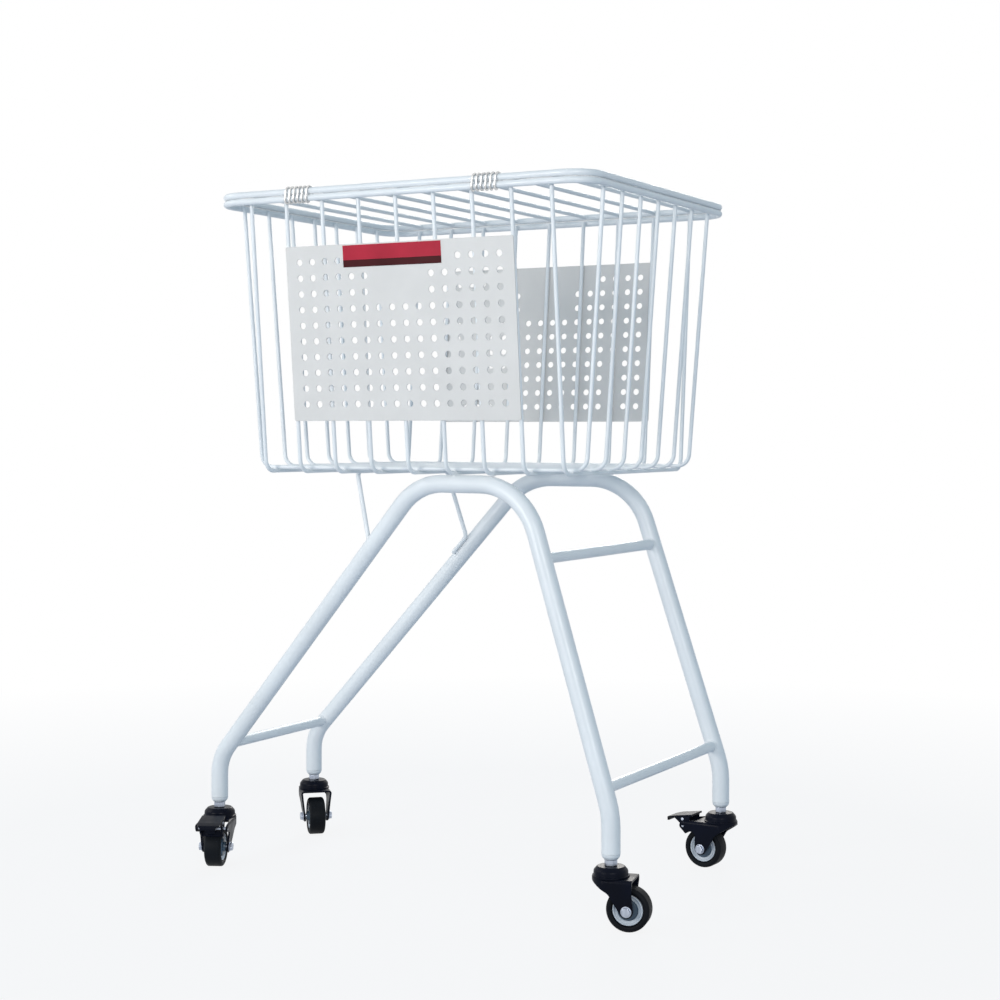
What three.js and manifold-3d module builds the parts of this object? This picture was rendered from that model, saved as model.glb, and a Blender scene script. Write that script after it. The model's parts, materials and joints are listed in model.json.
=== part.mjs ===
// Ball cart: a tapered wire basket with a hinged wire lid and two perforated panels, on a stand
// of two bent tube frames with four small swivel casters, two of them braked.
// Millimetres, +Z up. +X runs along the basket's long side and -Y is the front, where the lid's
// coil hinges are.
import * as THREE from 'three';
import { mergeVertices } from 'three/addons/utils/BufferGeometryUtils.js';
import Module from 'manifold-3d';

const wasm = await Module();
wasm.setup();

// Driving dimensions

const clearance = 0.3;
const overrun = 3;

const facets = {
  leg: 12,
  bar: 8,
  rod: 8,
  wire: 6,
  coil: 5,
  turned: 8,
  dome: 12,
  wheel: 16,
  nut: 6,
  crownNose: 6,
  eye: 4,
  ear: 4,
  leverHub: 3,
};
const wireBendStep = 30 * Math.PI / 180;
const tubeBendStep = 18 * Math.PI / 180;

const legTube = { diameter: 21.5, endBore: 18.5, endBoreDepth: 24 };
const barDiameter = 13;
const wireDiameter = 5;
const rodDiameter = 8;

// Bend points of a side frame's centre line, measured along the frame.
const frame = {
  leftFoot: -323,
  leftKneeHeight: 135,
  leftKneeRadius: 55,
  archLeft: -5,
  archRight: 145.7,
  archHeight: 494.8,
  archRadius: 80,
  rightFoot: 263,
  rightKneeHeight: 128.3,
  rightKneeRadius: 100,
  halfSpread: 140.3,
  toeIn: 5.63 * Math.PI / 180,
};

const barHeights = { left: 155, rightLower: 156, rightUpper: 411 };

const brace = {
  diameter: 5.5,
  topX: -110,
  topHalfLength: 110,
  footHeight: 410,
  footRise: 8.5,
  footLength: 30,
  bendRadius: 10,
};

const basket = {
  height: 323.5,
  wireRise: 1.5,
  rimLength: 508.8,
  rimDepth: 415,
  rimCornerRadius: 35,
  endTaper: 30.4,
  sideTaper: 38.1,
  crossCount: 9,
  crossInset: 19.2,
  longCount: 7,
  longInset: 19.7,
  wireBendRadius: 16,
};
const floorLength = basket.rimLength - 2 * basket.endTaper;
const floorDepth = basket.rimDepth - 2 * basket.sideTaper;
const crossPitch = (floorLength - 2 * basket.crossInset) / (basket.crossCount - 1);
const longPitch = (floorDepth - 2 * basket.longInset) / (basket.longCount - 1);
const longWireSplayShare = 1.04;

const panel = {
  width: 311,
  height: 210.5,
  thickness: 1.5,
  dropFromRim: 57,
  columns: 16,
  rows: 10,
  endMargin: 19,
  firstRowDrop: 19.3,
  lastRowRise: 20.2,
  holeDiameter: 8,
  holeSides: 6,
  endHolesOfTopRows: [4, 6, 6],
};
const columnPitch = (panel.width - 2 * panel.endMargin) / (panel.columns - 1);
const rowPitch = (panel.height - panel.firstRowDrop - panel.lastRowRise) / (panel.rows - 1);

const coil = {
  wireDiameter: 2.5,
  turns: 6,
  pitch: 6,
  stepsPerBend: 5,
  centres: { left: -131, right: 125 },
};

const wheel = {
  diameter: 50,
  width: 22,
  shoulder: 1.8,
  rimDiameter: 34.6,
  rimWidth: 19,
  rimDish: 1.2,
  hubDiameter: 18.6,
  hubWidth: 21,
  bossDiameter: 12.5,
  bossWidth: 26.6,
};

const axle = { diameter: 6, headDiameter: 11, headHeight: 3.4 };

// The fork's outline is seen from the side: reach along the trail, and height above the floor.
const fork = {
  trail: 21,
  crownGap: 7.5,
  sheet: 2.5,
  topWidth: 43,
  axleWidth: 34.8,
  noseReach: -21.5,
  throatReach: 0.7,
  throatHeight: 43.5,
  shinReach: 4.7,
  shinHeight: 36,
  eyeRadius: 7.6,
  calfReach: 27,
  calfHeight: 45,
  heelReach: 28,
  heelHeight: 53.5,
  domeDiameter: 42,
  domeRim: 1.5,
  domeShoulderDiameter: 39,
  domeShoulderHeight: 7,
  domeTopDiameter: 31,
  domeHeight: 11.5,
};
const eyeStart = 215 * Math.PI / 180;

const stem = {
  diameter: 8,
  rivetDiameter: 13,
  rivetHeight: 2.6,
  nutAcross: 13,
  nutHeight: 6.6,
  threadLength: 20,
};

const insert = { height: 6.1, endDiameter: 15.4, spigotLength: 16 };

// The brake lever, seen from the side like the fork.
const lever = {
  pivotReach: 44,
  pivotHeight: 53,
  pinDiameter: 4,
  earRadius: 4.6,
  width: 30,
  sheet: 2.4,
  heelReach: 34,
  heelHeight: 67,
  toeReach: 71,
  toeHeight: 61.5,
  toeLip: 6,
  hubRadius: 5.2,
  shoeReach: 40.2,
  shoeHeight: 44,
  shoeEndReach: 43,
  shoeEndHeight: 41.6,
  cheekToeReach: 60,
  clawReach: 51,
  clawHeight: 45.5,
  clawWidth: 12,
};
const earStart = -70 * Math.PI / 180;
const hubStart = -100 * Math.PI / 180;
const hubEnd = -20 * Math.PI / 180;

// Where each caster stands, and which way its wheel trails from +X.
const casters = [
  { name: 'front_left', foot: frame.leftFoot, side: -1, trailDegrees: -66, braked: true },
  { name: 'back_left', foot: frame.leftFoot, side: 1, trailDegrees: -49, braked: false },
  { name: 'front_right', foot: frame.rightFoot, side: -1, trailDegrees: 12, braked: false },
  { name: 'back_right', foot: frame.rightFoot, side: 1, trailDegrees: 176, braked: true },
];

// Heights that follow from the sizes above. A wire's facets face up, down and outwards, so it
// rests on the middles of its facets.

const axleHeight = wheel.diameter / 2;
const crownBottom = wheel.diameter + fork.crownGap;
const crownTop = crownBottom + fork.sheet;
const domeTop = crownTop + fork.domeHeight;
const nutBottom = domeTop + clearance;
const insertBottom = nutBottom + stem.nutHeight + clearance;
const insertShoulder = insertBottom + insert.height;
const legEnd = insertShoulder + clearance;
const wireFlat = wireDiameter / 2 * Math.cos(Math.PI / facets.wire);
const crossFloor = frame.archHeight + legTube.diameter / 2 + clearance + wireFlat;
const longFloor = crossFloor + 2 * wireFlat + clearance;
const rimHeight = longFloor + basket.height;
const wireTop = rimHeight + basket.wireRise;
const lidHeight = rimHeight + rodDiameter + clearance;
const wireInset = rodDiameter / 2 + clearance + wireFlat;

// Materials

function finish(color, roughness, metalness) {
  return new THREE.MeshStandardMaterial({ color, roughness, metalness });
}

const whitePaint = finish(0xe6ebf2, 0.42, 0.1);
const panelPaint = finish(0xd9dce2, 0.5, 0.1);
const zinc = finish(0xb4b8bd, 0.35, 0.85);
const whitePlastic = finish(0xe9ebee, 0.5, 0);
const blackPaint = finish(0x15171d, 0.38, 0.25);
const tyreBlack = finish(0x101114, 0.7, 0);
const rimGrey = finish(0xbfc4cc, 0.5, 0);
const hubBlue = finish(0x2b3d52, 0.45, 0.1);

// Outlines

function vec(x, y, z) {
  return new THREE.Vector3(x, y, z);
}

function flat(x, y) {
  return new THREE.Vector2(x, y);
}

function arc(x, y, radius, from, to, steps) {
  const points = [];
  for (let i = 0; i <= steps; i += 1) {
    const angle = from + (to - from) * i / steps;
    points.push(flat(x + radius * Math.cos(angle), y + radius * Math.sin(angle)));
  }
  return points;
}

function ring(radius, sides) {
  return arc(0, 0, radius, 0, 2 * Math.PI, sides).slice(0, sides);
}

// Solids made from outlines

function extrudeUp(outline, height, holes = []) {
  const shape = new THREE.Shape(outline);
  shape.holes = holes.map((hole) => new THREE.Path(hole));
  return new THREE.ExtrudeGeometry(shape, { depth: height, bevelEnabled: false });
}

// An outline drawn in X and Z, given a width along Y and centred on it.
function extrudeAcross(outline, width, holes = []) {
  const solid = extrudeUp(outline, width, holes);
  solid.translate(0, 0, -width / 2);
  solid.rotateX(Math.PI / 2);
  return solid;
}

// An outline drawn in Y and Z, given a length along X.
function extrudeAlong(outline, from, to) {
  const solid = extrudeUp(outline, to - from);
  solid.translate(0, 0, from);
  solid.applyMatrix4(new THREE.Matrix4().makeBasis(vec(0, 1, 0), vec(0, 0, 1), vec(1, 0, 0)));
  return solid;
}

// A ring turned about the Z axis from pairs of radius and height, given counterclockwise.
function turnRing(profile, segments) {
  const points = profile.map(([radius, height]) => flat(radius, height));
  const turned = new THREE.LatheGeometry([...points, points[0]], segments);
  turned.rotateX(Math.PI / 2);
  return turned;
}

function cylinder(radius, from, to, sides) {
  const solid = extrudeUp(ring(radius, sides), to - from);
  solid.translate(0, 0, from);
  return solid;
}

// Swept rods

// A curve that stops only at its stations, so a swept rod has a ring exactly at each of them.
class StationCurve extends THREE.Curve {
  constructor(stations) {
    super();
    this.stations = stations;
  }

  station(share) {
    return this.stations[Math.round(share * (this.stations.length - 1))];
  }

  getPointAt(share, target = new THREE.Vector3()) {
    return target.copy(this.station(share).point);
  }

  getTangentAt(share, target = new THREE.Vector3()) {
    return target.copy(this.station(share).tangent);
  }
}

// Stations along a polyline whose inner corners are rounded with the given radii.
function bentStations(corners, radii, bendStep = wireBendStep) {
  const last = corners.length - 1;
  const heading = (from, to) => corners[to].clone().sub(corners[from]).normalize();
  const stations = [{ point: corners[0], tangent: heading(0, 1) }];
  for (let i = 1; i < last; i += 1) {
    const before = heading(i - 1, i);
    const after = heading(i, i + 1);
    const bend = before.angleTo(after);
    const radius = radii[i - 1];
    const start = corners[i].clone().addScaledVector(before, -radius * Math.tan(bend / 2));
    const inward = after.clone().addScaledVector(before, -after.dot(before)).normalize();
    const centre = start.clone().addScaledVector(inward, radius);
    const steps = Math.ceil(bend / bendStep);
    for (let k = 0; k <= steps; k += 1) {
      const angle = bend * k / steps;
      const point = centre.clone()
        .addScaledVector(inward, -radius * Math.cos(angle))
        .addScaledVector(before, radius * Math.sin(angle));
      const tangent = before.clone()
        .multiplyScalar(Math.cos(angle))
        .addScaledVector(inward, Math.sin(angle));
      stations.push({ point, tangent });
    }
  }
  stations.push({ point: corners[last], tangent: heading(last - 1, last) });
  return stations;
}

function sweep(diameter, sides, stations) {
  return new THREE.ExtrudeGeometry(new THREE.Shape(ring(diameter / 2, sides)), {
    steps: stations.length - 1,
    extrudePath: new StationCurve(stations),
    bevelEnabled: false,
  });
}

// A rod whose last station is its first one: the two end caps are dropped and the seam is joined.
function sweepLoop(diameter, sides, stations) {
  const open = sweep(diameter, sides, stations);
  const walls = open.groups.find((group) => group.materialIndex === 1);
  const position = open.attributes.position;
  const start = walls.start * position.itemSize;
  const end = start + walls.count * position.itemSize;
  const loop = new THREE.BufferGeometry();
  loop.setAttribute('position', new THREE.BufferAttribute(position.array.slice(start, end), 3));
  const joined = mergeVertices(loop);
  joined.computeVertexNormals();
  return joined;
}

// Booleans

function toSolid(geometry) {
  const bare = geometry.clone();
  bare.deleteAttribute('normal');
  bare.deleteAttribute('uv');
  const merged = mergeVertices(bare);
  return new wasm.Manifold(new wasm.Mesh({
    numProp: 3,
    vertProperties: new Float32Array(merged.attributes.position.array),
    triVerts: new Uint32Array(merged.index.array),
  }));
}

function toGeometry(solid) {
  const { vertProperties, triVerts } = solid.getMesh();
  const geometry = new THREE.BufferGeometry();
  geometry.setAttribute('position', new THREE.BufferAttribute(new Float32Array(vertProperties), 3));
  geometry.setIndex(new THREE.BufferAttribute(new Uint32Array(triVerts), 1));
  geometry.computeVertexNormals();
  return geometry;
}

function fuse(...geometries) {
  return geometries.map(toSolid).reduce((whole, piece) => whole.add(piece));
}

function cut(solid, ...tools) {
  return tools.map(toSolid).reduce((whole, tool) => whole.subtract(tool), solid);
}

function part(name, geometry, material) {
  const mesh = new THREE.Mesh(geometry, material);
  mesh.name = name;
  return mesh;
}

// Side frames of the stand

function frameStations() {
  const corners = [
    vec(frame.leftFoot, 0, legEnd),
    vec(frame.leftFoot, 0, frame.leftKneeHeight),
    vec(frame.archLeft, 0, frame.archHeight),
    vec(frame.archRight, 0, frame.archHeight),
    vec(frame.rightFoot, 0, frame.rightKneeHeight),
    vec(frame.rightFoot, 0, legEnd),
  ];
  const radii = [
    frame.leftKneeRadius,
    frame.archRadius,
    frame.archRadius,
    frame.rightKneeRadius,
  ];
  return bentStations(corners, radii, tubeBendStep);
}

// A place along the frame, on its front or back plane or set inwards from it.
function onFrame(along, side, height, inward = 0) {
  const x = along * Math.cos(frame.toeIn) + inward * Math.sin(frame.toeIn);
  const spread = along * Math.sin(frame.toeIn) - inward * Math.cos(frame.toeIn);
  return vec(x, side * (frame.halfSpread + spread), height);
}

function placeFrame(geometry, side) {
  geometry.rotateZ(side * frame.toeIn);
  geometry.translate(0, side * frame.halfSpread, 0);
  return geometry;
}

function legBore(foot) {
  const from = legEnd - overrun;
  const to = legEnd + legTube.endBoreDepth;
  const bore = cylinder(legTube.endBore / 2, from, to, facets.leg);
  bore.translate(foot, 0, 0);
  return bore;
}

function sideFrame(side) {
  const tube = toSolid(sweep(legTube.diameter, facets.leg, frameStations()));
  const bored = cut(tube, legBore(frame.leftFoot), legBore(frame.rightFoot));
  return placeFrame(toGeometry(bored), side);
}

// Bars between the side frames, with their ends coped to the round legs

function frameCope(side) {
  const diameter = legTube.diameter + 2 * clearance;
  return placeFrame(sweep(diameter, facets.leg, frameStations()), side);
}

function alongLeg(kneeAlong, kneeHeight, archAlong, height) {
  const share = (height - kneeHeight) / (frame.archHeight - kneeHeight);
  return kneeAlong + share * (archAlong - kneeAlong);
}

function alongLeftLeg(height) {
  return alongLeg(frame.leftFoot, frame.leftKneeHeight, frame.archLeft, height);
}

function alongRightLeg(height) {
  return alongLeg(frame.rightFoot, frame.rightKneeHeight, frame.archRight, height);
}

function crossBar(along, height) {
  const end = onFrame(along, 1, height);
  const bar = extrudeAcross(ring(barDiameter / 2, facets.bar), 2 * end.y);
  bar.translate(end.x, 0, height);
  return toGeometry(cut(toSolid(bar), frameCope(-1), frameCope(1)));
}

// Brace wire from the basket's floor to the inner sides of the slanted legs

function braceWire() {
  const run = frame.archLeft - frame.leftFoot;
  const slant = Math.atan2(frame.archHeight - frame.leftKneeHeight, run);
  const standOff = (legTube.diameter + brace.diameter) / 2 + clearance;
  const inward = Math.sqrt(standOff ** 2 - brace.footRise ** 2);
  const onLeg = (height, side) => {
    const along = alongLeftLeg(height) - brace.footRise * Math.sin(slant);
    return onFrame(along, side, height + brace.footRise * Math.cos(slant), inward);
  };
  const topHeight = longFloor - wireFlat - clearance - brace.diameter / 2;
  const toeHeight = brace.footHeight - brace.footLength * Math.sin(slant);
  const corners = [
    onLeg(toeHeight, -1),
    onLeg(brace.footHeight, -1),
    vec(brace.topX, -brace.topHalfLength, topHeight),
    vec(brace.topX, brace.topHalfLength, topHeight),
    onLeg(brace.footHeight, 1),
    onLeg(toeHeight, 1),
  ];
  const radii = new Array(corners.length - 2).fill(brace.bendRadius);
  return sweep(brace.diameter, facets.wire, bentStations(corners, radii));
}

// Basket

function rimStations(height) {
  const x = basket.rimLength / 2;
  const y = basket.rimDepth / 2;
  const corners = [
    vec(0, y, height),
    vec(x, y, height),
    vec(x, -y, height),
    vec(-x, -y, height),
    vec(-x, y, height),
    vec(0, y, height),
  ];
  const radii = new Array(corners.length - 2).fill(basket.rimCornerRadius);
  return bentStations(corners, radii);
}

function basketRim() {
  return sweepLoop(rodDiameter, facets.rod, rimStations(rimHeight));
}

function basketWire(corners) {
  const radii = [basket.wireBendRadius, basket.wireBendRadius];
  return sweep(wireDiameter, facets.wire, bentStations(corners, radii));
}

// A long wire runs down the left face, along the floor and up the right face.
function longWire(index) {
  const y = (index - (basket.longCount - 1) / 2) * longPitch;
  const topY = y * longWireSplayShare;
  const topX = basket.rimLength / 2 - wireInset;
  const floorX = floorLength / 2;
  return basketWire([
    vec(-topX, topY, wireTop),
    vec(-floorX, y, longFloor),
    vec(floorX, y, longFloor),
    vec(topX, topY, wireTop),
  ]);
}

const faceTop = basket.rimDepth / 2 - wireInset;
const faceFoot = floorDepth / 2;
const faceLean = Math.atan2(faceTop - faceFoot, wireTop - crossFloor);

function crossWireX(index) {
  return (index - (basket.crossCount - 1) / 2) * crossPitch;
}

// A cross wire runs down the front face, under the long wires and up the back face.
function crossWire(index) {
  const x = crossWireX(index);
  return basketWire([
    vec(x, -faceTop, wireTop),
    vec(x, -faceFoot, crossFloor),
    vec(x, faceFoot, crossFloor),
    vec(x, faceTop, wireTop),
  ]);
}

// Perforated panels on the front and back faces

function panelHoles() {
  const holes = [];
  for (let row = 0; row < panel.rows; row += 1) {
    const kept = panel.endHolesOfTopRows[row] ?? panel.columns;
    for (let column = 0; column < panel.columns; column += 1) {
      const fromEnd = Math.min(column, panel.columns - 1 - column);
      if (fromEnd < kept) {
        const x = (column - (panel.columns - 1) / 2) * columnPitch;
        const z = -panel.firstRowDrop - row * rowPitch;
        holes.push(arc(x, z, panel.holeDiameter / 2, 0, 2 * Math.PI, panel.holeSides).slice(1));
      }
    }
  }
  return holes;
}

function facePanel(side) {
  const halfWidth = panel.width / 2;
  const outline = [
    flat(-halfWidth, -panel.height),
    flat(halfWidth, -panel.height),
    flat(halfWidth, 0),
    flat(-halfWidth, 0),
  ];
  const plate = extrudeAcross(outline, panel.thickness, panelHoles());
  const standOff = wireFlat + clearance + panel.thickness / 2;
  plate.translate(0, side * standOff, -panel.dropFromRim);
  plate.rotateX(-side * faceLean);
  plate.translate(0, side * faceTop, rimHeight);
  return plate;
}

// Lid: a rod frame with cross wires welded between its long sides

function lidGrille() {
  const loop = sweepLoop(rodDiameter, facets.rod, rimStations(lidHeight));
  const wires = [];
  for (let i = 0; i < basket.crossCount; i += 1) {
    const bar = extrudeAcross(ring(wireDiameter / 2, facets.wire), basket.rimDepth);
    bar.translate(crossWireX(i), 0, lidHeight);
    wires.push(bar);
  }
  return toGeometry(fuse(loop, ...wires));
}

// Coil hinges: a wire wound round the basket's rim and the lid's frame together

// One turn of the coil, as an oblong round the two rods; it starts at the back of the lower rod.
function coilTurn(radius) {
  const gap = lidHeight - rimHeight;
  const under = arc(0, 0, radius, 0, -Math.PI, coil.stepsPerBend);
  const over = arc(0, gap, radius, Math.PI, 0, coil.stepsPerBend);
  return [...under, ...over];
}

function coilStations(centre) {
  const halfStep = Math.PI / coil.stepsPerBend / 2;
  const radius = ((rodDiameter + coil.wireDiameter) / 2 + clearance) / Math.cos(halfStep);
  const outline = coilTurn(radius);
  const rearY = -basket.rimDepth / 2;
  const startX = centre - coil.turns * coil.pitch / 2;
  const points = [];
  for (let i = 0; i <= coil.turns * outline.length; i += 1) {
    const place = outline[i % outline.length];
    const x = startX + coil.pitch * i / outline.length;
    points.push(vec(x, rearY + place.x, rimHeight + place.y));
  }
  const last = points.length - 1;
  const straight = (from, to) => {
    const ahead = points[from].clone().sub(points[to]).setLength(coil.wireDiameter);
    return points[from].clone().add(ahead);
  };
  const path = [straight(0, 1), ...points, straight(last, last - 1)];
  return path.map((point, i) => {
    const before = path[Math.max(i - 1, 0)];
    const after = path[Math.min(i + 1, path.length - 1)];
    return { point, tangent: after.clone().sub(before).normalize() };
  });
}

function distanceToSegment(point, from, to) {
  const line = new THREE.Line3(from, to);
  return line.closestPointToPoint(point, true, new THREE.Vector3()).distanceTo(point);
}

// The least gap between the wire's surfaces on neighbouring turns.
function leastCoilGap(stations) {
  const perTurn = 2 * (coil.stepsPerBend + 1);
  const apart = perTurn / 2;
  let least = Infinity;
  for (let i = 0; i < stations.length; i += 1) {
    for (let k = i + apart; k + 1 < stations.length; k += 1) {
      const distance = distanceToSegment(
        stations[i].point,
        stations[k].point,
        stations[k + 1].point,
      );
      least = Math.min(least, distance);
    }
  }
  return least - coil.wireDiameter;
}

function coilHinge(centre) {
  const stations = coilStations(centre);
  console.log(`least gap between coil turns: ${leastCoilGap(stations).toFixed(2)} mm`);
  return sweep(coil.wireDiameter, facets.coil, stations);
}

// Caster parts, drawn with the swivel axis on Z and the wheel trailing along +X

function legInsert() {
  const bore = stem.diameter / 2 + clearance;
  const spigot = legTube.endBore / 2 * Math.cos(Math.PI / facets.leg) - clearance;
  const top = insertShoulder + insert.spigotLength;
  return turnRing(
    [
      [bore, insertBottom],
      [insert.endDiameter / 2, insertBottom],
      [legTube.diameter / 2, insertShoulder],
      [spigot, insertShoulder],
      [spigot, top],
      [bore, top],
    ],
    facets.leg,
  );
}

function casterStem() {
  const pinBottom = crownBottom - clearance - stem.rivetHeight / 2;
  const rivetTop = crownBottom - clearance;
  const nutRadius = stem.nutAcross / Math.sqrt(3);
  const threadTop = insertBottom + stem.threadLength;
  return toGeometry(fuse(
    cylinder(stem.diameter / 2, pinBottom, threadTop, facets.turned),
    cylinder(stem.rivetDiameter / 2, rivetTop - stem.rivetHeight, rivetTop, facets.turned),
    cylinder(nutRadius, nutBottom, nutBottom + stem.nutHeight, facets.nut),
  ));
}

const forkLean = (fork.topWidth - fork.axleWidth) / 2 / (crownTop - axleHeight);

// Half the fork's outer width at a height.
function forkHalfWidth(height) {
  return fork.axleWidth / 2 + (height - axleHeight) * forkLean;
}

function channel(bottom, top, inset, from, to) {
  const foot = forkHalfWidth(bottom) - inset;
  const head = forkHalfWidth(top) - inset;
  const outline = [flat(-foot, bottom), flat(foot, bottom), flat(head, top), flat(-head, top)];
  return extrudeAlong(outline, from, to);
}

function forkOutline(braked) {
  const eye = arc(fork.trail, axleHeight, fork.eyeRadius, eyeStart, 2 * Math.PI, facets.eye);
  const { pivotReach, pivotHeight, earRadius } = lever;
  const ear = arc(pivotReach, pivotHeight, earRadius, earStart, Math.PI / 2, facets.ear);
  const heel = [flat(fork.heelReach, fork.heelHeight)];
  return [
    flat(fork.noseReach, crownTop),
    flat(fork.noseReach, crownBottom),
    flat(fork.throatReach, fork.throatHeight),
    flat(fork.shinReach, fork.shinHeight),
    ...eye,
    flat(fork.calfReach, fork.calfHeight),
    ...(braked ? ear : heel),
    flat(fork.heelReach, crownTop),
  ];
}

function forkDome() {
  const bore = stem.diameter / 2 + clearance;
  return turnRing(
    [
      [bore, crownBottom + fork.sheet / 2],
      [fork.domeDiameter / 2, crownBottom + fork.sheet / 2],
      [fork.domeDiameter / 2, crownTop + fork.domeRim],
      [fork.domeShoulderDiameter / 2, crownTop + fork.domeShoulderHeight],
      [fork.domeTopDiameter / 2, domeTop],
      [bore, domeTop],
    ],
    facets.dome,
  );
}

function acrossCylinder(radius, reach, height, from, to, sides) {
  const solid = cylinder(radius, from, to, sides);
  solid.rotateX(-Math.PI / 2);
  solid.translate(reach, 0, height);
  return solid;
}

// An upright block with a round nose about the swivel axis.
function roundNosed(radius, reachEnd) {
  const outline = [
    ...arc(0, 0, radius, Math.PI / 2, 3 * Math.PI / 2, facets.crownNose),
    flat(reachEnd, -radius - overrun),
    flat(reachEnd, radius + overrun),
  ];
  return toSolid(extrudeUp(outline, crownTop + overrun));
}

function casterFork(braked) {
  const reachEnd = lever.pivotReach + lever.earRadius + overrun;
  const bottom = axleHeight - fork.eyeRadius - overrun;
  const noseRadius = -fork.noseReach;
  const side = extrudeAcross(forkOutline(braked), fork.topWidth + overrun);
  const outer = channel(bottom, crownTop, 0, fork.noseReach - overrun, reachEnd);
  const inner = channel(
    bottom - overrun,
    crownBottom,
    fork.sheet,
    fork.noseReach,
    reachEnd + overrun,
  );
  const behindCrown = channel(
    fork.calfHeight,
    crownTop + overrun,
    fork.sheet,
    fork.heelReach,
    reachEnd + overrun,
  );
  const block = toSolid(outer).intersect(toSolid(side)).intersect(roundNosed(noseRadius, reachEnd));
  const innerPlan = roundNosed(noseRadius - fork.sheet, reachEnd + 2 * overrun);
  const hollow = toSolid(inner).intersect(innerPlan);
  const legs = cut(block.subtract(hollow), behindCrown);
  const kingBore = cylinder(
    stem.diameter / 2 + clearance,
    crownBottom - overrun,
    domeTop + overrun,
    facets.turned,
  );
  const axleReach = forkHalfWidth(crownTop) + overrun;
  const axleBore = acrossCylinder(
    axle.diameter / 2 + clearance,
    fork.trail,
    axleHeight,
    -axleReach,
    axleReach,
    facets.turned,
  );
  const whole = cut(legs.add(toSolid(forkDome())), kingBore, axleBore);
  return toGeometry(braked ? whole.add(toSolid(leverPin())) : whole);
}

function leverPin() {
  const half = forkHalfWidth(lever.pivotHeight) - fork.sheet / 2;
  return acrossCylinder(
    lever.pinDiameter / 2,
    lever.pivotReach,
    lever.pivotHeight,
    -half,
    half,
    facets.bar,
  );
}

function casterAxle() {
  const seat = forkHalfWidth(axleHeight + axle.headDiameter / 2) + clearance;
  const end = seat + axle.headHeight;
  const pinEnd = end - axle.headHeight / 2;
  const across = (radius, from, to, sides) => {
    return acrossCylinder(radius, fork.trail, axleHeight, from, to, sides);
  };
  return toGeometry(fuse(
    across(axle.diameter / 2, -pinEnd, pinEnd, facets.turned),
    across(axle.headDiameter / 2, -end, -seat, facets.turned),
    across(axle.headDiameter / 2, seat, end, facets.nut),
  ));
}

// A ring of the wheel, symmetric about its middle plane, from the profile of its one half. Radii
// are measured to the middles of the facets, one of which is at the bottom.
function wheelRing(innerRadius, innerHalfWidth, outerHalf) {
  const facetAngle = Math.PI / facets.wheel;
  const solid = turnRing(
    [
      [innerRadius, -innerHalfWidth],
      ...outerHalf.map(([radius, half]) => [radius, -half]),
      ...outerHalf.slice().reverse(),
      [innerRadius, innerHalfWidth],
    ],
    facets.wheel,
  );
  solid.rotateZ(facetAngle);
  solid.scale(1 / Math.cos(facetAngle), 1 / Math.cos(facetAngle), 1);
  solid.rotateX(-Math.PI / 2);
  solid.translate(fork.trail, 0, axleHeight);
  return solid;
}

function wheelTyre() {
  const outer = wheel.diameter / 2;
  const half = wheel.width / 2;
  return wheelRing(wheel.rimDiameter / 2 + clearance, half - wheel.shoulder, [
    [outer - 2 * wheel.shoulder, half],
    [outer - wheel.shoulder / 2, half - wheel.shoulder / 2],
    [outer, half - 2 * wheel.shoulder],
  ]);
}

function wheelRim() {
  const half = wheel.rimWidth / 2;
  return wheelRing(wheel.hubDiameter / 2 + clearance, half - wheel.rimDish, [
    [wheel.rimDiameter / 2, half],
  ]);
}

function wheelHub() {
  return wheelRing(axle.diameter / 2 + clearance, wheel.bossWidth / 2, [
    [wheel.bossDiameter / 2, wheel.bossWidth / 2],
    [wheel.bossDiameter / 2, wheel.hubWidth / 2],
    [wheel.hubDiameter / 2, wheel.hubWidth / 2],
  ]);
}

// Brake lever

// The height of the lever plate's upper face above a reach.
function leverTop(reach) {
  const share = (reach - lever.heelReach) / (lever.toeReach - lever.heelReach);
  return lever.heelHeight + share * (lever.toeHeight - lever.heelHeight);
}

function leverPlate() {
  return extrudeAcross(
    [
      flat(lever.heelReach, lever.heelHeight),
      flat(lever.heelReach, lever.heelHeight - lever.sheet),
      flat(lever.toeReach - lever.sheet, leverTop(lever.toeReach) - lever.sheet),
      flat(lever.toeReach - lever.sheet, leverTop(lever.toeReach) - lever.toeLip),
      flat(lever.toeReach, leverTop(lever.toeReach) - lever.toeLip),
      flat(lever.toeReach, leverTop(lever.toeReach)),
    ],
    lever.width,
  );
}

function leverCheek(side) {
  const { pivotReach, pivotHeight, hubRadius, sheet } = lever;
  const cheek = extrudeAcross(
    [
      flat(lever.heelReach + sheet, leverTop(lever.heelReach + sheet) - sheet / 2),
      flat(pivotReach - hubRadius, pivotHeight),
      flat(lever.shoeReach, lever.shoeHeight),
      flat(lever.shoeEndReach, lever.shoeEndHeight),
      ...arc(pivotReach, pivotHeight, hubRadius, hubStart, hubEnd, facets.leverHub).slice(1),
      flat(lever.cheekToeReach, leverTop(lever.cheekToeReach) - sheet / 2),
    ],
    sheet,
  );
  cheek.translate(0, side * (lever.width - sheet) / 2, 0);
  return cheek;
}

function leverShoe() {
  const { pivotReach, hubRadius } = lever;
  const shoeTop = lever.shoeHeight + hubRadius;
  return extrudeAcross(
    [
      flat(lever.shoeReach, lever.shoeHeight),
      flat(lever.shoeEndReach, lever.shoeEndHeight),
      flat(pivotReach, shoeTop),
      flat(pivotReach - hubRadius, shoeTop),
    ],
    lever.width - lever.sheet,
  );
}

function leverClaw() {
  const top = leverTop(lever.clawReach) - lever.sheet / 2;
  return extrudeAcross(
    [
      flat(lever.clawReach, top),
      flat(lever.clawReach, lever.clawHeight + lever.sheet),
      flat(lever.clawReach - lever.sheet, lever.clawHeight),
      flat(lever.clawReach + lever.sheet, lever.clawHeight),
      flat(lever.clawReach + lever.sheet, top),
    ],
    lever.clawWidth,
  );
}

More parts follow.
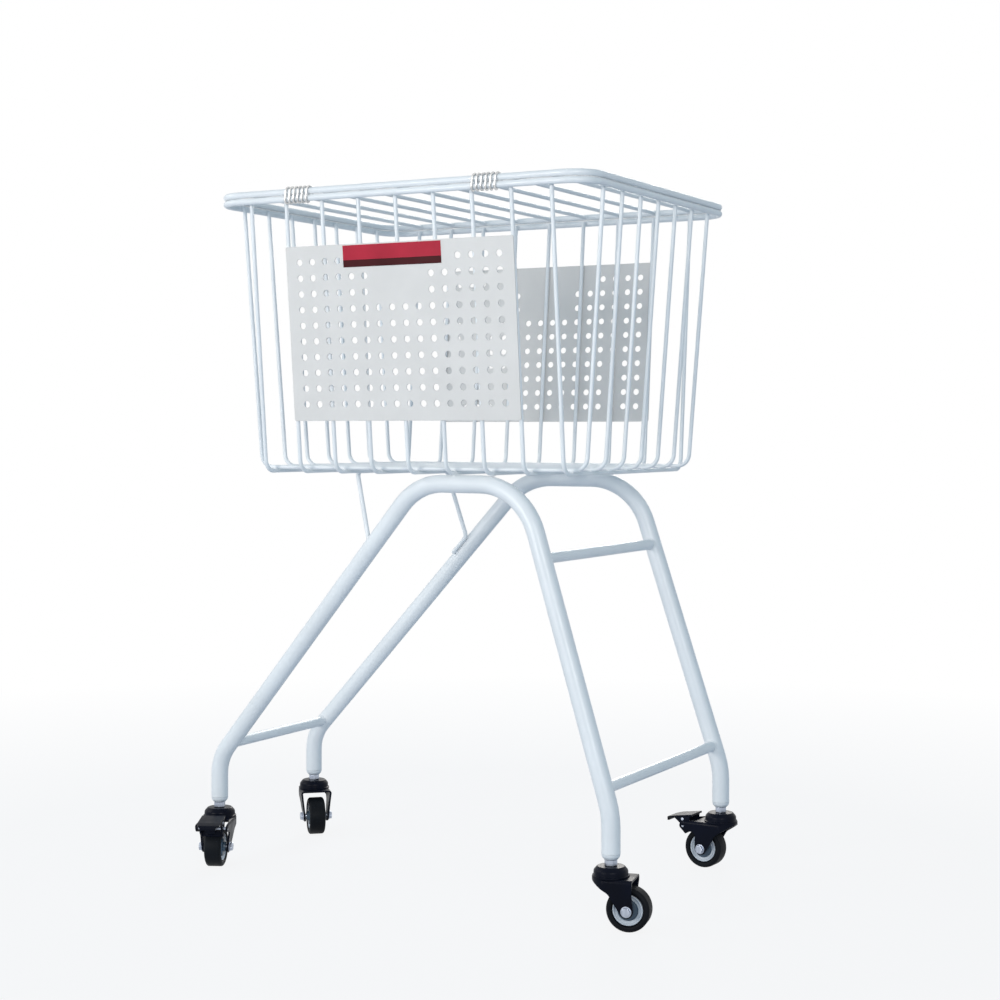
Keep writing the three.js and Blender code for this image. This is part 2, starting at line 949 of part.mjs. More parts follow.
function brakeLever() {
  const bore = acrossCylinder(
    lever.pinDiameter / 2 + clearance,
    lever.pivotReach,
    lever.pivotHeight,
    -lever.width,
    lever.width,
    facets.bar,
  );
  const whole = fuse(leverPlate(), leverCheek(-1), leverCheek(1), leverShoe(), leverClaw());
  return toGeometry(cut(whole, bore));
}

// Assembly

function casterParts({ name, foot, side, trailDegrees, braked }) {
  const parts = [
    part(`caster_${name}_insert`, legInsert(), whitePlastic),
    part(`caster_${name}_stem`, casterStem(), zinc),
    part(`caster_${name}_fork`, casterFork(braked), blackPaint),
    part(`caster_${name}_axle`, casterAxle(), zinc),
    part(`caster_${name}_tyre`, wheelTyre(), tyreBlack),
    part(`caster_${name}_rim`, wheelRim(), rimGrey),
    part(`caster_${name}_hub`, wheelHub(), hubBlue),
  ];
  if (braked) {
    parts.push(part(`caster_${name}_lever`, brakeLever(), blackPaint));
  }
  const place = onFrame(foot, side, 0);
  for (const { geometry } of parts) {
    geometry.rotateZ(THREE.MathUtils.degToRad(trailDegrees));
    geometry.translate(place.x, place.y, place.z);
  }
  return parts;
}

function standParts() {
  const { left, rightLower, rightUpper } = barHeights;
  return [
    part('frame_front', sideFrame(-1), whitePaint),
    part('frame_back', sideFrame(1), whitePaint),
    part('bar_left', crossBar(alongLeftLeg(left), left), whitePaint),
    part('bar_right_lower', crossBar(alongRightLeg(rightLower), rightLower), whitePaint),
    part('bar_right_upper', crossBar(alongRightLeg(rightUpper), rightUpper), whitePaint),
    part('brace_wire', braceWire(), whitePaint),
  ];
}

function basketParts() {
  const parts = [part('basket_rim', basketRim(), whitePaint)];
  for (let i = 0; i < basket.longCount; i += 1) {
    parts.push(part(`basket_long_wire_${i + 1}`, longWire(i), whitePaint));
  }
  for (let i = 0; i < basket.crossCount; i += 1) {
    parts.push(part(`basket_cross_wire_${i + 1}`, crossWire(i), whitePaint));
  }
  parts.push(part('panel_front', facePanel(-1), panelPaint));
  parts.push(part('panel_back', facePanel(1), panelPaint));
  return parts;
}

function lidParts() {
  return [
    part('lid_grille', lidGrille(), whitePaint),
    part('hinge_coil_left', coilHinge(coil.centres.left), zinc),
    part('hinge_coil_right', coilHinge(coil.centres.right), zinc),
  ];
}

const assembly = new THREE.Group();
assembly.add(...standParts(), ...basketParts(), ...lidParts(), ...casters.flatMap(casterParts));

// The origin goes to the middle of the bounding box, on the floor.
const bounds = new THREE.Box3().setFromObject(assembly);
const middle = bounds.getCenter(new THREE.Vector3());
for (const mesh of assembly.children) {
  mesh.geometry.translate(-middle.x, -middle.y, -bounds.min.z);
}

export default assembly;
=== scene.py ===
# Looks of the ball cart: welded and painted tubes and wires, perforated panels, coil hinges and
# small swivel casters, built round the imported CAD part.
import json
from math import atan2, ceil, copysign, cos, pi, radians, sin, sqrt, tan, tau
from types import SimpleNamespace as Sizes

import bmesh
import bpy
from mathutils import Matrix, Vector

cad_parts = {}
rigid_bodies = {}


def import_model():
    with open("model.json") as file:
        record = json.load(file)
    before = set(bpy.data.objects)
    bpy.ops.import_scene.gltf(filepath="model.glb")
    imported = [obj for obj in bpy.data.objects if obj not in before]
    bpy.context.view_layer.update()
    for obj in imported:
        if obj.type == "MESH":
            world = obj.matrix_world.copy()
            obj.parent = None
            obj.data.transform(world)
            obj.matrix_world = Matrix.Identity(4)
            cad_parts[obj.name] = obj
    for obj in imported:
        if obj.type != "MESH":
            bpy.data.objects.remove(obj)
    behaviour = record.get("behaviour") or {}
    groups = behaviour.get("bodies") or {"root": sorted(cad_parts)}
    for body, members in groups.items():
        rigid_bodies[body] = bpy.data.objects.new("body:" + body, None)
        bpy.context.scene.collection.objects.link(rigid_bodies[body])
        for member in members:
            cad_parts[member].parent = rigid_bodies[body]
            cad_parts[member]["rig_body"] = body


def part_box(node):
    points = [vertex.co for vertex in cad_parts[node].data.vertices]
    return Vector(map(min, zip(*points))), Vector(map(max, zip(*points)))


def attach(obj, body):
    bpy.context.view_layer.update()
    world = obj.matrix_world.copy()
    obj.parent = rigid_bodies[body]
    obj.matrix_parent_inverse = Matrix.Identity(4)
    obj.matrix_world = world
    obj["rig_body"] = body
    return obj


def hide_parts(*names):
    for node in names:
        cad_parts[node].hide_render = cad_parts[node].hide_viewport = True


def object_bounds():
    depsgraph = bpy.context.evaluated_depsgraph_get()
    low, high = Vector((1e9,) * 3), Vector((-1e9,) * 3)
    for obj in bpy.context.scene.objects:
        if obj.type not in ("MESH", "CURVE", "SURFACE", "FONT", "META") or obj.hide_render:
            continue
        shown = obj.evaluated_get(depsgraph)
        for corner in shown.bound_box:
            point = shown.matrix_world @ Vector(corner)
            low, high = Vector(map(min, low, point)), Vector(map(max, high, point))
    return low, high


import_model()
cad_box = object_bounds()
scene = bpy.context.scene

# Sizes in millimetres, as in the CAD part but for the hubs, the forks' noses and the treads. Places
# are measured from the basket's middle and up from the floor, +X along the basket's long side and
# -Y towards the lid's hinges.

MM = 0.001
CLEARANCE = 0.3
MERGE_DISTANCE = 0.002
# How far cutting solids reach past what they cut
OVERRUN = 3

# How finely bends, straight runs and round pieces are stepped
BEND_STEP = radians(6)
FOLD_STEP = radians(10)
PROFILE_STEP = radians(15)
ARC_DEGREES = 5
RUN_STEP = 20
SIDES = Sizes(leg=32, bar=24, rod=20, wire=16, coil=12, weld=8)
STEPS = Sizes(dome=64, insert=48, washer=40, pin=32, rivet=24)

# Which edges shade as sharp or are bevelled, and how wide the bevels are
SMOOTH_ANGLE = radians(35)
FORK_SMOOTH_ANGLE = radians(30)
BEVEL_ANGLE = radians(38)
SHEET_EDGE = 0.35
LEVER_EDGE = 0.3

LEG_DIAMETER = 21.5
BAR_DIAMETER = 13
ROD_DIAMETER = 8
WIRE_DIAMETER = 5
# The CAD wires have six sides, and face their neighbours with the middles of these.
WIRE_FLAT = WIRE_DIAMETER / 2 * cos(pi / 6)

STAND = Sizes(
    left_foot=-323,
    left_knee_height=135,
    left_knee_radius=55,
    arch_left=-5,
    arch_right=145.7,
    arch_height=494.8,
    arch_radius=80,
    right_foot=263,
    right_knee_height=128.3,
    right_knee_radius=100,
    half_spread=140.3,
    toe_in=radians(5.63),
)
BAR_HEIGHTS = Sizes(left=155, right_lower=156, right_upper=411)
WELD_SEAM = Sizes(diameter=2.2, points=36)
BRACE = Sizes(
    diameter=5.5,
    top_x=-110,
    top_half_length=110,
    foot_height=410,
    foot_rise=8.5,
    foot_length=30,
    bend_radius=10,
    bead_shares=(0.12, 0.5, 0.9),
    bead_reach=0.8,
)
# Half sizes of the weld beads along X, Y and Z, and how they vary from one to the next
BEAD = Sizes(
    brace=(3.6, 2.0, 3.0),
    arch=(3.4, 4.4, 1.6),
    crossing=(3.1, 3.1, 1.9),
    cross_end=(3.2, 1.7, 2.6),
    long_end=(1.7, 3.2, 2.6),
    lid=(3.3, 1.5, 3.1),
    drift=0.12,
    drift_turn=2.4,
    turn=1.3,
)

BASKET = Sizes(
    height=323.5,
    wire_rise=1.5,
    rim_length=508.8,
    rim_depth=415,
    rim_corner_radius=35,
    end_taper=30.4,
    side_taper=38.1,
    cross_count=9,
    cross_inset=19.2,
    long_count=7,
    long_inset=19.7,
    wire_bend_radius=16,
    long_splay=1.04,
)
PANEL = Sizes(
    width=311,
    height=210.5,
    thickness=1.5,
    drop_from_rim=57,
    columns=16,
    rows=10,
    end_margin=19,
    first_row_drop=19.3,
    last_row_rise=20.2,
    hole_diameter=8,
    hole_sides=28,
    end_holes_of_top_rows=(4, 6, 6),
    corner_radius=2,
    edge_bevel=0.25,
)
BAND = Sizes(
    left=-73.7,
    right=60.7,
    drop=1.5,
    height=17.5,
    strip_height=8.5,
    thickness=0.3,
    edge_bevel=0.05,
)
COIL = Sizes(wire_diameter=2.5, turns=6, pitch=6, centres=(-131, 125), steps=40, gap=0.2)

WHEEL = Sizes(
    diameter=50,
    width=22,
    shoulder=3.4,
    wall_foot=1.6,
    wall_sink=0.6,
    foot_sink=1,
    seat_diameter=34.6,
    rim_width=19,
    rim_lip=1.4,
    rim_dish=1.6,
    dish_inner=1.2,
    dish_outer=2.6,
    dish_rise=0.3,
    # The hub is drawn wider than the real one. Its dark plastic is partly the real hub and partly
    # painted shade over the rim's inner dish.
    hub_diameter=23.5,
    hub_width=21,
    hub_edge=0.8,
    hub_crown=0.3,
    hub_shoulder=1.4,
    boss_diameter=12.5,
    boss_width=26.6,
    boss_flare=0.6,
    tread_inset=0.1,
    middle=0.5,
    steps=72,
)
AXLE = Sizes(
    diameter=6,
    core=0.3,
    overhang=1,
    rod_edge=0.4,
    head_diameter=11,
    head_height=3.4,
    head_edge=0.7,
    washer_diameter=12.4,
    washer_height=0.9,
    washer_edge=0.25,
)
FORK = Sizes(
    trail=21,
    crown_gap=7.5,
    sheet=2.5,
    top_width=43,
    axle_width=34.8,
    nose_radius=21.3,
    throat=(0.7, 43.5),
    shin=(4.7, 36),
    eye_radius=7.6,
    eye_front=215,
    eye_bottom=270,
    eye_back=360,
    calf=(27, 45),
    heel_reach=28,
    heel_height=53.5,
    fold_radius=4,
    dome_diameter=42,
    dome_undercut=1.2,
    dome_rim=1.5,
    dome_groove=(0.1, 0.5),
    dome_shoulder_diameter=39,
    dome_shoulder_height=7,
    dome_top_diameter=31,
    dome_height=11.5,
)
STEM = Sizes(
    diameter=8,
    core=0.4,
    rivet_diameter=13,
    rivet_height=2.6,
    nut_across=13,
    nut_height=6.6,
    nut_edge=0.5,
    thread_length=20,
)
INSERT = Sizes(
    height=6.1,
    end_diameter=15.4,
    waist_inset=0.6,
    waist_drop=3.2,
    spigot_diameter=17,
    spigot_length=16,
)
LEVER = Sizes(
    pivot=(44, 53),
    pin_diameter=4,
    pin_core=0.2,
    pin_edge=0.6,
    ear_radius=4.6,
    ear_foot=-70,
    ear_head=90,
    width=30,
    columns=12,
    sheet=2.4,
    heel=(34, 67),
    toe=(71, 61.5),
    toe_drop=0.8,
    toe_lip=6,
    toe_corner=9,
    toe_roundness=0.55,
    hub_radius=5.2,
    shoe=(40.2, 44),
    shoe_end=(43, 41.6),
    shoe_corner=0.5,
    cheek_flare=2,
    cheek_corner=1.1,
    cheek_toe_reach=60,
    rivet=(47, 60),
    rivet_overhang=0.4,
    claw=(51, 45.5),
    claw_tip=0.4,
    claw_corner=0.4,
    claw_width=12,
)

CASTERS = (
    Sizes(name="front_left", foot=STAND.left_foot, side=-1, trail=-66, braked=True),
    Sizes(name="back_left", foot=STAND.left_foot, side=1, trail=-49, braked=False),
    Sizes(name="front_right", foot=STAND.right_foot, side=-1, trail=12, braked=False),
    Sizes(name="back_right", foot=STAND.right_foot, side=1, trail=176, braked=True),
)

# Heights and pitches that follow from the sizes above

AXLE_HEIGHT = WHEEL.diameter / 2
CROWN_BOTTOM = WHEEL.diameter + FORK.crown_gap
CROWN_TOP = CROWN_BOTTOM + FORK.sheet
DOME_TOP = CROWN_TOP + FORK.dome_height
NUT_BOTTOM = DOME_TOP + CLEARANCE
INSERT_BOTTOM = NUT_BOTTOM + STEM.nut_height + CLEARANCE
INSERT_SHOULDER = INSERT_BOTTOM + INSERT.height
LEG_END = INSERT_SHOULDER + CLEARANCE
CROSS_FLOOR = STAND.arch_height + LEG_DIAMETER / 2 + CLEARANCE + WIRE_FLAT
LONG_FLOOR = CROSS_FLOOR + 2 * WIRE_FLAT + CLEARANCE
RIM_HEIGHT = LONG_FLOOR + BASKET.height
WIRE_TOP = RIM_HEIGHT + BASKET.wire_rise
LID_HEIGHT = RIM_HEIGHT + ROD_DIAMETER + CLEARANCE
WIRE_INSET = ROD_DIAMETER / 2 + CLEARANCE + WIRE_FLAT
FLOOR_LENGTH = BASKET.rim_length - 2 * BASKET.end_taper
FLOOR_DEPTH = BASKET.rim_depth - 2 * BASKET.side_taper
CROSS_PITCH = (FLOOR_LENGTH - 2 * BASKET.cross_inset) / (BASKET.cross_count - 1)
LONG_PITCH = (FLOOR_DEPTH - 2 * BASKET.long_inset) / (BASKET.long_count - 1)
FACE_TOP = BASKET.rim_depth / 2 - WIRE_INSET
FACE_FOOT = FLOOR_DEPTH / 2
FACE_LEAN = atan2(FACE_TOP - FACE_FOOT, WIRE_TOP - CROSS_FLOOR)

# Millimetres to the frame's metres: the rim's middle is the basket's middle.
rim_low, rim_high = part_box("basket_rim")
basket_middle = (rim_low + rim_high) / 2
basket_middle.z = 0
TO_FRAME = Matrix.Translation(basket_middle) @ Matrix.Scale(MM, 4)
# Stands up what is drawn in X and Y: its Y turns to height, and its Z to -Y.
UPRIGHT = Matrix.Rotation(pi / 2, 4, "X")

# The camera was found by fitting the part to the photograph.
CAMERA = Sizes(
    focal_pixels=1873.6,
    centre_row=429.38,
    image_size=1000,
    sensor=36,
    place=(1145.09, -2070.69, 559.27),
    heading=radians(28.27),
)
FILL_COLOUR = (0.52, 0.79, 1.0)
FILL_STRENGTH = 0.44
# The key stands to the left, so that the front frame's shadow falls clear of the back one.
LIGHTS = {
    "key_light": Sizes(place=(-900, -2500, 800), size=700, watts=25, colour=(1.0, 0.965, 0.92)),
    "left_light": Sizes(place=(-2400, -1000, 1700), size=1000, watts=14, colour=(1.0, 0.97, 0.94)),
    "right_light": Sizes(place=(1700, -2200, 1100), size=800, watts=24, colour=(1.0, 0.975, 0.94)),
    "back_light": Sizes(place=(-1000, 2600, 1500), size=1200, watts=36, colour=(1.0, 0.965, 0.92)),
}
FLOOR_SIZE = 9000
FLOOR_NEAR = 700
FLOOR_FAR = 1900
FLOOR_SHADOW_SHARE = 0.12
FLOOR_DARK = (0.38, 0.45, 0.54)
FLOOR_LIGHT = (0.4, 0.47, 0.56)

# Colours of the paler finishes, and the ranges of noise that colours and gloss are spread over
WHITE_COAT = (0.835, 0.845, 0.855)
PANEL_COAT = (0.745, 0.71, 0.68)
WHITE_PLASTIC = (0.78, 0.8, 0.82)
RIM_PLASTIC = (0.56, 0.6, 0.65)
COLOUR_RANGE = (0.35, 0.65)
GLOSS_RANGE = (0.3, 0.7)
BUMP_DEPTH = 0.1


# Materials


def new_material(name):
    material = bpy.data.materials.new(name)
    material.use_nodes = True
    return material, material.node_tree, material.node_tree.nodes["Principled BSDF"]


def set_inputs(node, **values):
    for name, value in values.items():
        node.inputs[name.replace("_", " ")].default_value = value


def feed(tree, node, **sources):
    for name, source in sources.items():
        tree.links.new(source, node.inputs[name.replace("_", " ")])


def add_node(tree, kind, *sources, **values):
    """A shader node with its first sockets fed by sources and others set by name."""
    node = tree.nodes.new(f"ShaderNode{kind}")
    for socket, source in zip(node.inputs, sources):
        tree.links.new(source, socket)
    set_inputs(node, **values)
    return node


def add_maths(tree, operation, first, second):
    node = add_node(tree, "Math", first, second)
    node.operation = operation
    return node.outputs["Value"]


def noise(tree, scale, detail=3.0, stretch=(1, 1, 1)):
    """Noise over the piece's own place, with so many features in a metre."""
    place = add_node(tree, "TexCoord").outputs["Object"]
    mapping = add_node(tree, "Mapping", place, Scale=stretch)
    texture = add_node(tree, "TexNoise", mapping.outputs["Vector"], Scale=scale, Detail=detail)
    return texture.outputs["Fac"]


def blend_colours(tree, factor, dark, light):
    ramp = add_node(tree, "ValToRGB", factor)
    first, last = ramp.color_ramp.elements
    first.position, last.position = COLOUR_RANGE
    first.color = (*dark, 1)
    last.color = (*light, 1)
    return ramp.outputs["Color"]


def spread(tree, factor, low, high):
    """The factor's middle range, carried over to another range."""
    start, end = GLOSS_RANGE
    mapped = add_node(tree, "MapRange", factor, From_Min=start, From_Max=end, To_Min=low, To_Max=high)
    return mapped.outputs["Result"]


def add_bump(tree, shader, height, strength):
    bump = add_node(tree, "Bump", Strength=strength, Distance=BUMP_DEPTH * MM)
    feed(tree, bump, Height=height)
    feed(tree, shader, Normal=bump.outputs["Normal"])


def painted(name, dark, light, roughness, grain, bump, specular=0.5):
    """Powder coat or moulded plastic: a little colour drift, uneven gloss and a fine grain."""
    material, tree, shader = new_material(name)
    colour = blend_colours(tree, noise(tree, scale=14, detail=4), dark, light)
    gloss = spread(tree, noise(tree, scale=60), *roughness)
    feed(tree, shader, Base_Color=colour, Roughness=gloss)
    set_inputs(shader, Specular_IOR_Level=specular)
    add_bump(tree, shader, noise(tree, scale=grain, detail=2), bump)
    return material


def shades(colour, share=0.95):
    """A darker and a lighter shade, to drift between."""
    return tuple(channel * share for channel in colour), colour


def white_powder_coat():
    material = painted(
        "white_powder_coat", *shades(WHITE_COAT), roughness=(0.34, 0.46), grain=520, bump=0.05
    )
    shader = material.node_tree.nodes["Principled BSDF"]
    set_inputs(shader, Coat_Weight=0.15, Coat_Roughness=0.22)
    return material


def zinc_plating(name, dark, light):
    material, tree, shader = new_material(name)
    streaks = noise(tree, scale=160, detail=5, stretch=(1, 1, 0.25))
    colour = blend_colours(tree, streaks, dark, light)
    feed(tree, shader, Base_Color=colour, Roughness=spread(tree, streaks, 0.26, 0.42))
    set_inputs(shader, Metallic=1.0)
    add_bump(tree, shader, noise(tree, scale=700), strength=0.12)
    return material


def band_vinyl(name, dark, light):
    return painted(
        name, dark, light, roughness=(0.35, 0.45), grain=700, bump=0.04, specular=0.06
    )


MATERIALS = {
    "white_paint": white_powder_coat(),
    "panel_paint": painted(
        "panel_powder_coat",
        *shades(PANEL_COAT),
        roughness=(0.45, 0.58),
        grain=620,
        bump=0.06,
        specular=0.3,
    ),
    "zinc": zinc_plating("zinc_plating", (0.31, 0.35, 0.43), (0.47, 0.52, 0.61)),
    "white_plastic": painted(
        "white_moulding", *shades(WHITE_PLASTIC), roughness=(0.4, 0.5), grain=400, bump=0.05
    ),
    "black_paint": painted(
        "black_enamel",
        dark=(0.001, 0.002, 0.006),
        light=(0.002, 0.004, 0.012),
        roughness=(0.3, 0.42),
        grain=500,
        bump=0.08,
        specular=0.08,
    ),
    "tyre": painted(
        "tyre_rubber",
        dark=(0.002, 0.003, 0.005),
        light=(0.005, 0.007, 0.010),
        roughness=(0.5, 0.66),
        grain=900,
        bump=0.25,
        specular=0.1,
    ),
    "rim_plastic": painted(
        "rim_moulding", *shades(RIM_PLASTIC, 0.9), roughness=(0.35, 0.5), grain=450, bump=0.08
    ),
    "hub_plastic": painted(
        "hub_moulding",
        dark=(0.028, 0.055, 0.085),
        light=(0.045, 0.085, 0.13),
        roughness=(0.32, 0.45),
        grain=450,
        bump=0.1,
    ),
}


# Pieces


def add_object(name, data):
    thing = bpy.data.objects.new(name, data)
    scene.collection.objects.link(thing)
    return thing


def piece(name, data, slot, body, *nodes, material=None):
    """An object that rides on a body, takes its finish from a slot and stands for CAD nodes."""
    thing = add_object(name, data)
    data.materials.append(material or MATERIALS[slot])
    if nodes:
        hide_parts(*nodes)
    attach(thing, body)
    return thing


def mesh_data(name, vertices, faces):
    """A mesh from points in millimetres, its faces turned outwards."""
    mesh = bpy.data.meshes.new(name)
    mesh.from_pydata([TO_FRAME @ vertex for vertex in vertices], [], faces)
    work = bmesh.new()
    work.from_mesh(mesh)
    bmesh.ops.remove_doubles(work, verts=work.verts, dist=MERGE_DISTANCE * MM)
    bmesh.ops.recalc_face_normals(work, faces=work.faces)
    work.to_mesh(mesh)
    work.free()
    mesh.shade_smooth()
    mesh.set_sharp_from_angle(angle=SMOOTH_ANGLE)
    return mesh


def soften_edges(thing, width):
    bevel = thing.modifiers.new("soft_edges", "BEVEL")
    bevel.width = width * MM
    bevel.segments = 2
    bevel.limit_method = "ANGLE"
    bevel.angle_limit = BEVEL_ANGLE
    bevel.harden_normals = True


def in_short_steps(path):
    """The path with its long straight runs split up, so that a tube along it shades evenly."""
    points = [path[0]]
    for start, end in zip(path, path[1:]):
        count = max(1, ceil((end - start).length / RUN_STEP))
        points += [start.lerp(end, i / count) for i in range(1, count + 1)]
    return points


def tube_data(name, paths, diameter, sides, closed=False):
    """Round rods along paths in millimetres."""
    curve = bpy.data.curves.new(name, "CURVE")
    curve.dimensions = "3D"
    curve.bevel_depth = diameter / 2 * MM
    curve.bevel_resolution = sides // 2 - 2
    curve.use_fill_caps = True
    for path in paths:
        stations = in_short_steps(path)
        spline = curve.splines.new("POLY")
        spline.points.add(len(stations) - 1)
        for point, place in zip(spline.points, stations):
            point.co = (*(TO_FRAME @ place), 1)
        spline.use_cyclic_u = closed
        spline.use_smooth = True
    return curve


def white_rods(name, paths, diameter, sides, *nodes, body="cart", closed=False):
    """White painted rods in one piece."""
    data = tube_data(name, paths, diameter, sides, closed)
    piece(name, data, "white_paint", body, *nodes)


def bent(corners, radii, step=BEND_STEP):
    """The points of a path that rounds each of its inner corners."""
    points = [corners[0]]
    for before, corner, after, radius in zip(corners, corners[1:], corners[2:], radii):
        back = (before - corner).normalized()
        ahead = (after - corner).normalized()
        turn = pi - back.angle(ahead)
        centre = corner + (back + ahead).normalized() * radius / cos(turn / 2)
        start = corner + back * radius * tan(turn / 2) - centre
        end = corner + ahead * radius * tan(turn / 2) - centre
        axis = start.cross(end).normalized()
        count = max(2, ceil(turn / step))
        for i in range(count + 1):
            points.append(centre + Matrix.Rotation(turn * i / count, 3, axis) @ start)
    points.append(corners[-1])
    return points


def rounded_loop(corners, radius):
    """A closed outline with all its corners rounded alike."""
    start = (corners[-1] + corners[0]) / 2
    return bent([start, *corners, start], [radius] * len(corners))[:-1]


def lathe_data(name, profile, steps, place):
    """A ring turned about the place's Z axis from a closed outline of radius and height."""
    vertices = []
    for i in range(steps):
        turned = place @ Matrix.Rotation(tau * i / steps, 4, "Z")
        vertices += [turned @ Vector((radius, 0, height)) for radius, height in profile]
    count = len(profile)
    faces = []
    for i in range(steps):
        for k in range(count):
            here, after = i * count, (i + 1) % steps * count
            ahead = (k + 1) % count
            faces.append((here + k, after + k, after + ahead, here + ahead))
    return mesh_data(name, vertices, faces)


def turned_piece(name, profile, steps, place, slot, body, *nodes):
    piece(name, lathe_data(name, profile, steps, place), slot, body, *nodes)


def prism_data(name, outline, low, high, place):
    """A plate with an outline in X and Y, between two heights of the place."""
    count = len(outline)
    vertices = [place @ Vector((x, y, level)) for level in (low, high) for x, y in outline]
    faces = [tuple(range(count)), tuple(range(count, 2 * count))]
    for i in range(count):
        ahead = (i + 1) % count
        faces.append((i, ahead, count + ahead, count + i))
    return mesh_data(name, vertices, faces)


def sheet_data(name, rows):
    """A surface through rows of as many points each."""
    columns = len(rows[0])
    vertices = [point for row in rows for point in row]
    faces = []
    for i in range(len(rows) - 1):
        for k in range(columns - 1):
            corner = i * columns + k
            faces.append((corner, corner + 1, corner + columns + 1, corner + columns))
    return mesh_data(name, vertices, faces)


def thicken(thing, thickness):
    """Gives a surface the thickness of its metal, half to each side."""
    solid = thing.modifiers.new("metal_thickness", "SOLIDIFY")
    solid.thickness = thickness * MM
    solid.offset = 0
    solid.use_even_offset = True
    soften_edges(thing, SHEET_EDGE)


def flat(points):
    return [(point.x, point.y) for point in points]


def corner_points(*pairs):
    return [Vector((x, y, 0)) for x, y in pairs]


def rounded_profile(pairs, radii):
    """A lathe or plate outline whose inner corners are rounded, as pairs."""
    return flat(bent(corner_points(*pairs), radii, PROFILE_STEP))


def weld_beads(name, beads, body="cart"):
    """Small painted weld beads in one mesh, each a flattened and slightly uneven lump."""
    work = bmesh.new()
    for i, (place, half_sizes) in enumerate(beads):
        uneven = 1 + BEAD.drift * sin(BEAD.drift_turn * i)
        shape = Matrix.Diagonal((*half_sizes, 1)) @ Matrix.Rotation(BEAD.turn * i, 4, "Z")
        matrix = TO_FRAME @ Matrix.Translation(place) @ Matrix.Scale(uneven, 4) @ shape
        bmesh.ops.create_icosphere(work, subdivisions=2, radius=1, matrix=matrix)
    mesh = bpy.data.meshes.new(name)
    work.to_mesh(mesh)
    work.free()
    mesh.shade_smooth()
    piece(name, mesh, "white_paint", body)


# Stand


def on_frame(along, side, height, inward=0):
    """A place on a side frame, measured along it and up, or set inwards from it."""
    x = along * cos(STAND.toe_in) + inward * sin(STAND.toe_in)
    out = along * sin(STAND.toe_in) - inward * cos(STAND.toe_in)
    return Vector((x, side * (STAND.half_spread + out), height))


def frame_corners(side):
    """A side frame's corners, from its left foot over the arch to its right foot."""
    corners = (
        (STAND.left_foot, LEG_END),
        (STAND.left_foot, STAND.left_knee_height),
        (STAND.arch_left, STAND.arch_height),
        (STAND.arch_right, STAND.arch_height),
        (STAND.right_foot, STAND.right_knee_height),
        (STAND.right_foot, LEG_END),
    )
    return [on_frame(along, side, height) for along, height in corners]


def leg_run(side, left):
    """The foot end of a leg's slanted stretch, and its direction."""
    corners = frame_corners(side)
    foot, head = corners[1:3] if left else corners[4:2:-1]
    return foot, (head - foot).normalized()


def on_leg(side, left, height):
    foot, direction = leg_run(side, left)
    return foot + direction * (height - foot.z) / direction.z


def bar_end_seam(side, left, height):
    """The closed line where a cross bar's round surface meets a leg's."""
    centre = on_leg(side, left, height)
    _, direction = leg_run(side, left)
    reach = LEG_DIAMETER / 2
    seam = []
    for i in range(WELD_SEAM.points):
        angle = tau * i / WELD_SEAM.points
        offset = Vector((cos(angle), 0, sin(angle))) * BAR_DIAMETER / 2
        slide = offset.dot(direction)
        square = 1 - direction.y**2
        half = slide * direction.y
        rest = offset.length_squared - slide**2 - reach**2
        inward = (abs(half) + sqrt(half**2 - square * rest)) / square
        seam.append(centre + offset - Vector((0, side * inward, 0)))
    return seam


def build_stand():
    radii = (STAND.left_knee_radius, STAND.arch_radius, STAND.arch_radius, STAND.right_knee_radius)
    for side, place in ((-1, "front"), (1, "back")):
        path = bent(frame_corners(side), radii)
        name = f"frame_{place}"
        white_rods(f"tube_{name}", [path], LEG_DIAMETER, SIDES.leg, name)
    bars = (
        ("bar_left", True, BAR_HEIGHTS.left),
        ("bar_right_lower", False, BAR_HEIGHTS.right_lower),
        ("bar_right_upper", False, BAR_HEIGHTS.right_upper),
    )
    seams = []
    for name, left, height in bars:
        ends = [on_leg(side, left, height) for side in (-1, 1)]
        white_rods(f"tube_{name}", [ends], BAR_DIAMETER, SIDES.bar, name)
        seams += [bar_end_seam(side, left, height) for side in (-1, 1)]
    white_rods("bar_welds", seams, WELD_SEAM.diameter, SIDES.weld, closed=True)


def brace_path():
    run = STAND.arch_left - STAND.left_foot
    slant = atan2(STAND.arch_height - STAND.left_knee_height, run)
    stand_off = (LEG_DIAMETER + BRACE.diameter) / 2 + CLEARANCE
    inward = sqrt(stand_off**2 - BRACE.foot_rise**2)
    toe_height = BRACE.foot_height - BRACE.foot_length * sin(slant)
    top_height = LONG_FLOOR - WIRE_FLAT - CLEARANCE - BRACE.diameter / 2

    def beside_leg(height, side):
        share = (height - STAND.left_knee_height) / (STAND.arch_height - STAND.left_knee_height)
        along = STAND.left_foot + share * run - BRACE.foot_rise * sin(slant)
        return on_frame(along, side, height + BRACE.foot_rise * cos(slant), inward)

    corners = [
        beside_leg(toe_height, -1),
        beside_leg(BRACE.foot_height, -1),
        Vector((BRACE.top_x, -BRACE.top_half_length, top_height)),
        Vector((BRACE.top_x, BRACE.top_half_length, top_height)),
        beside_leg(BRACE.foot_height, 1),
        beside_leg(toe_height, 1),
    ]
    return bent(corners, [BRACE.bend_radius] * 4)


def build_brace():
    path = brace_path()
    white_rods("rod_brace_wire", [path], BRACE.diameter, SIDES.wire, "brace_wire")
    beads = []
    for end, inner in ((path[0], path[1]), (path[-1], path[-2])):
        outwards = Vector((0, copysign(BRACE.diameter / 2, end.y), 0))
        for share in BRACE.bead_shares:
            beads.append((end.lerp(inner, share) + outwards * BRACE.bead_reach, BEAD.brace))
    weld_beads("brace_welds", beads)


# Basket


def rim_loop(height):
    x, y = BASKET.rim_length / 2, BASKET.rim_depth / 2
    corners = [Vector((i * x, k * y, height)) for i, k in ((1, 1), (1, -1), (-1, -1), (-1, 1))]
    return rounded_loop(corners, BASKET.rim_corner_radius)


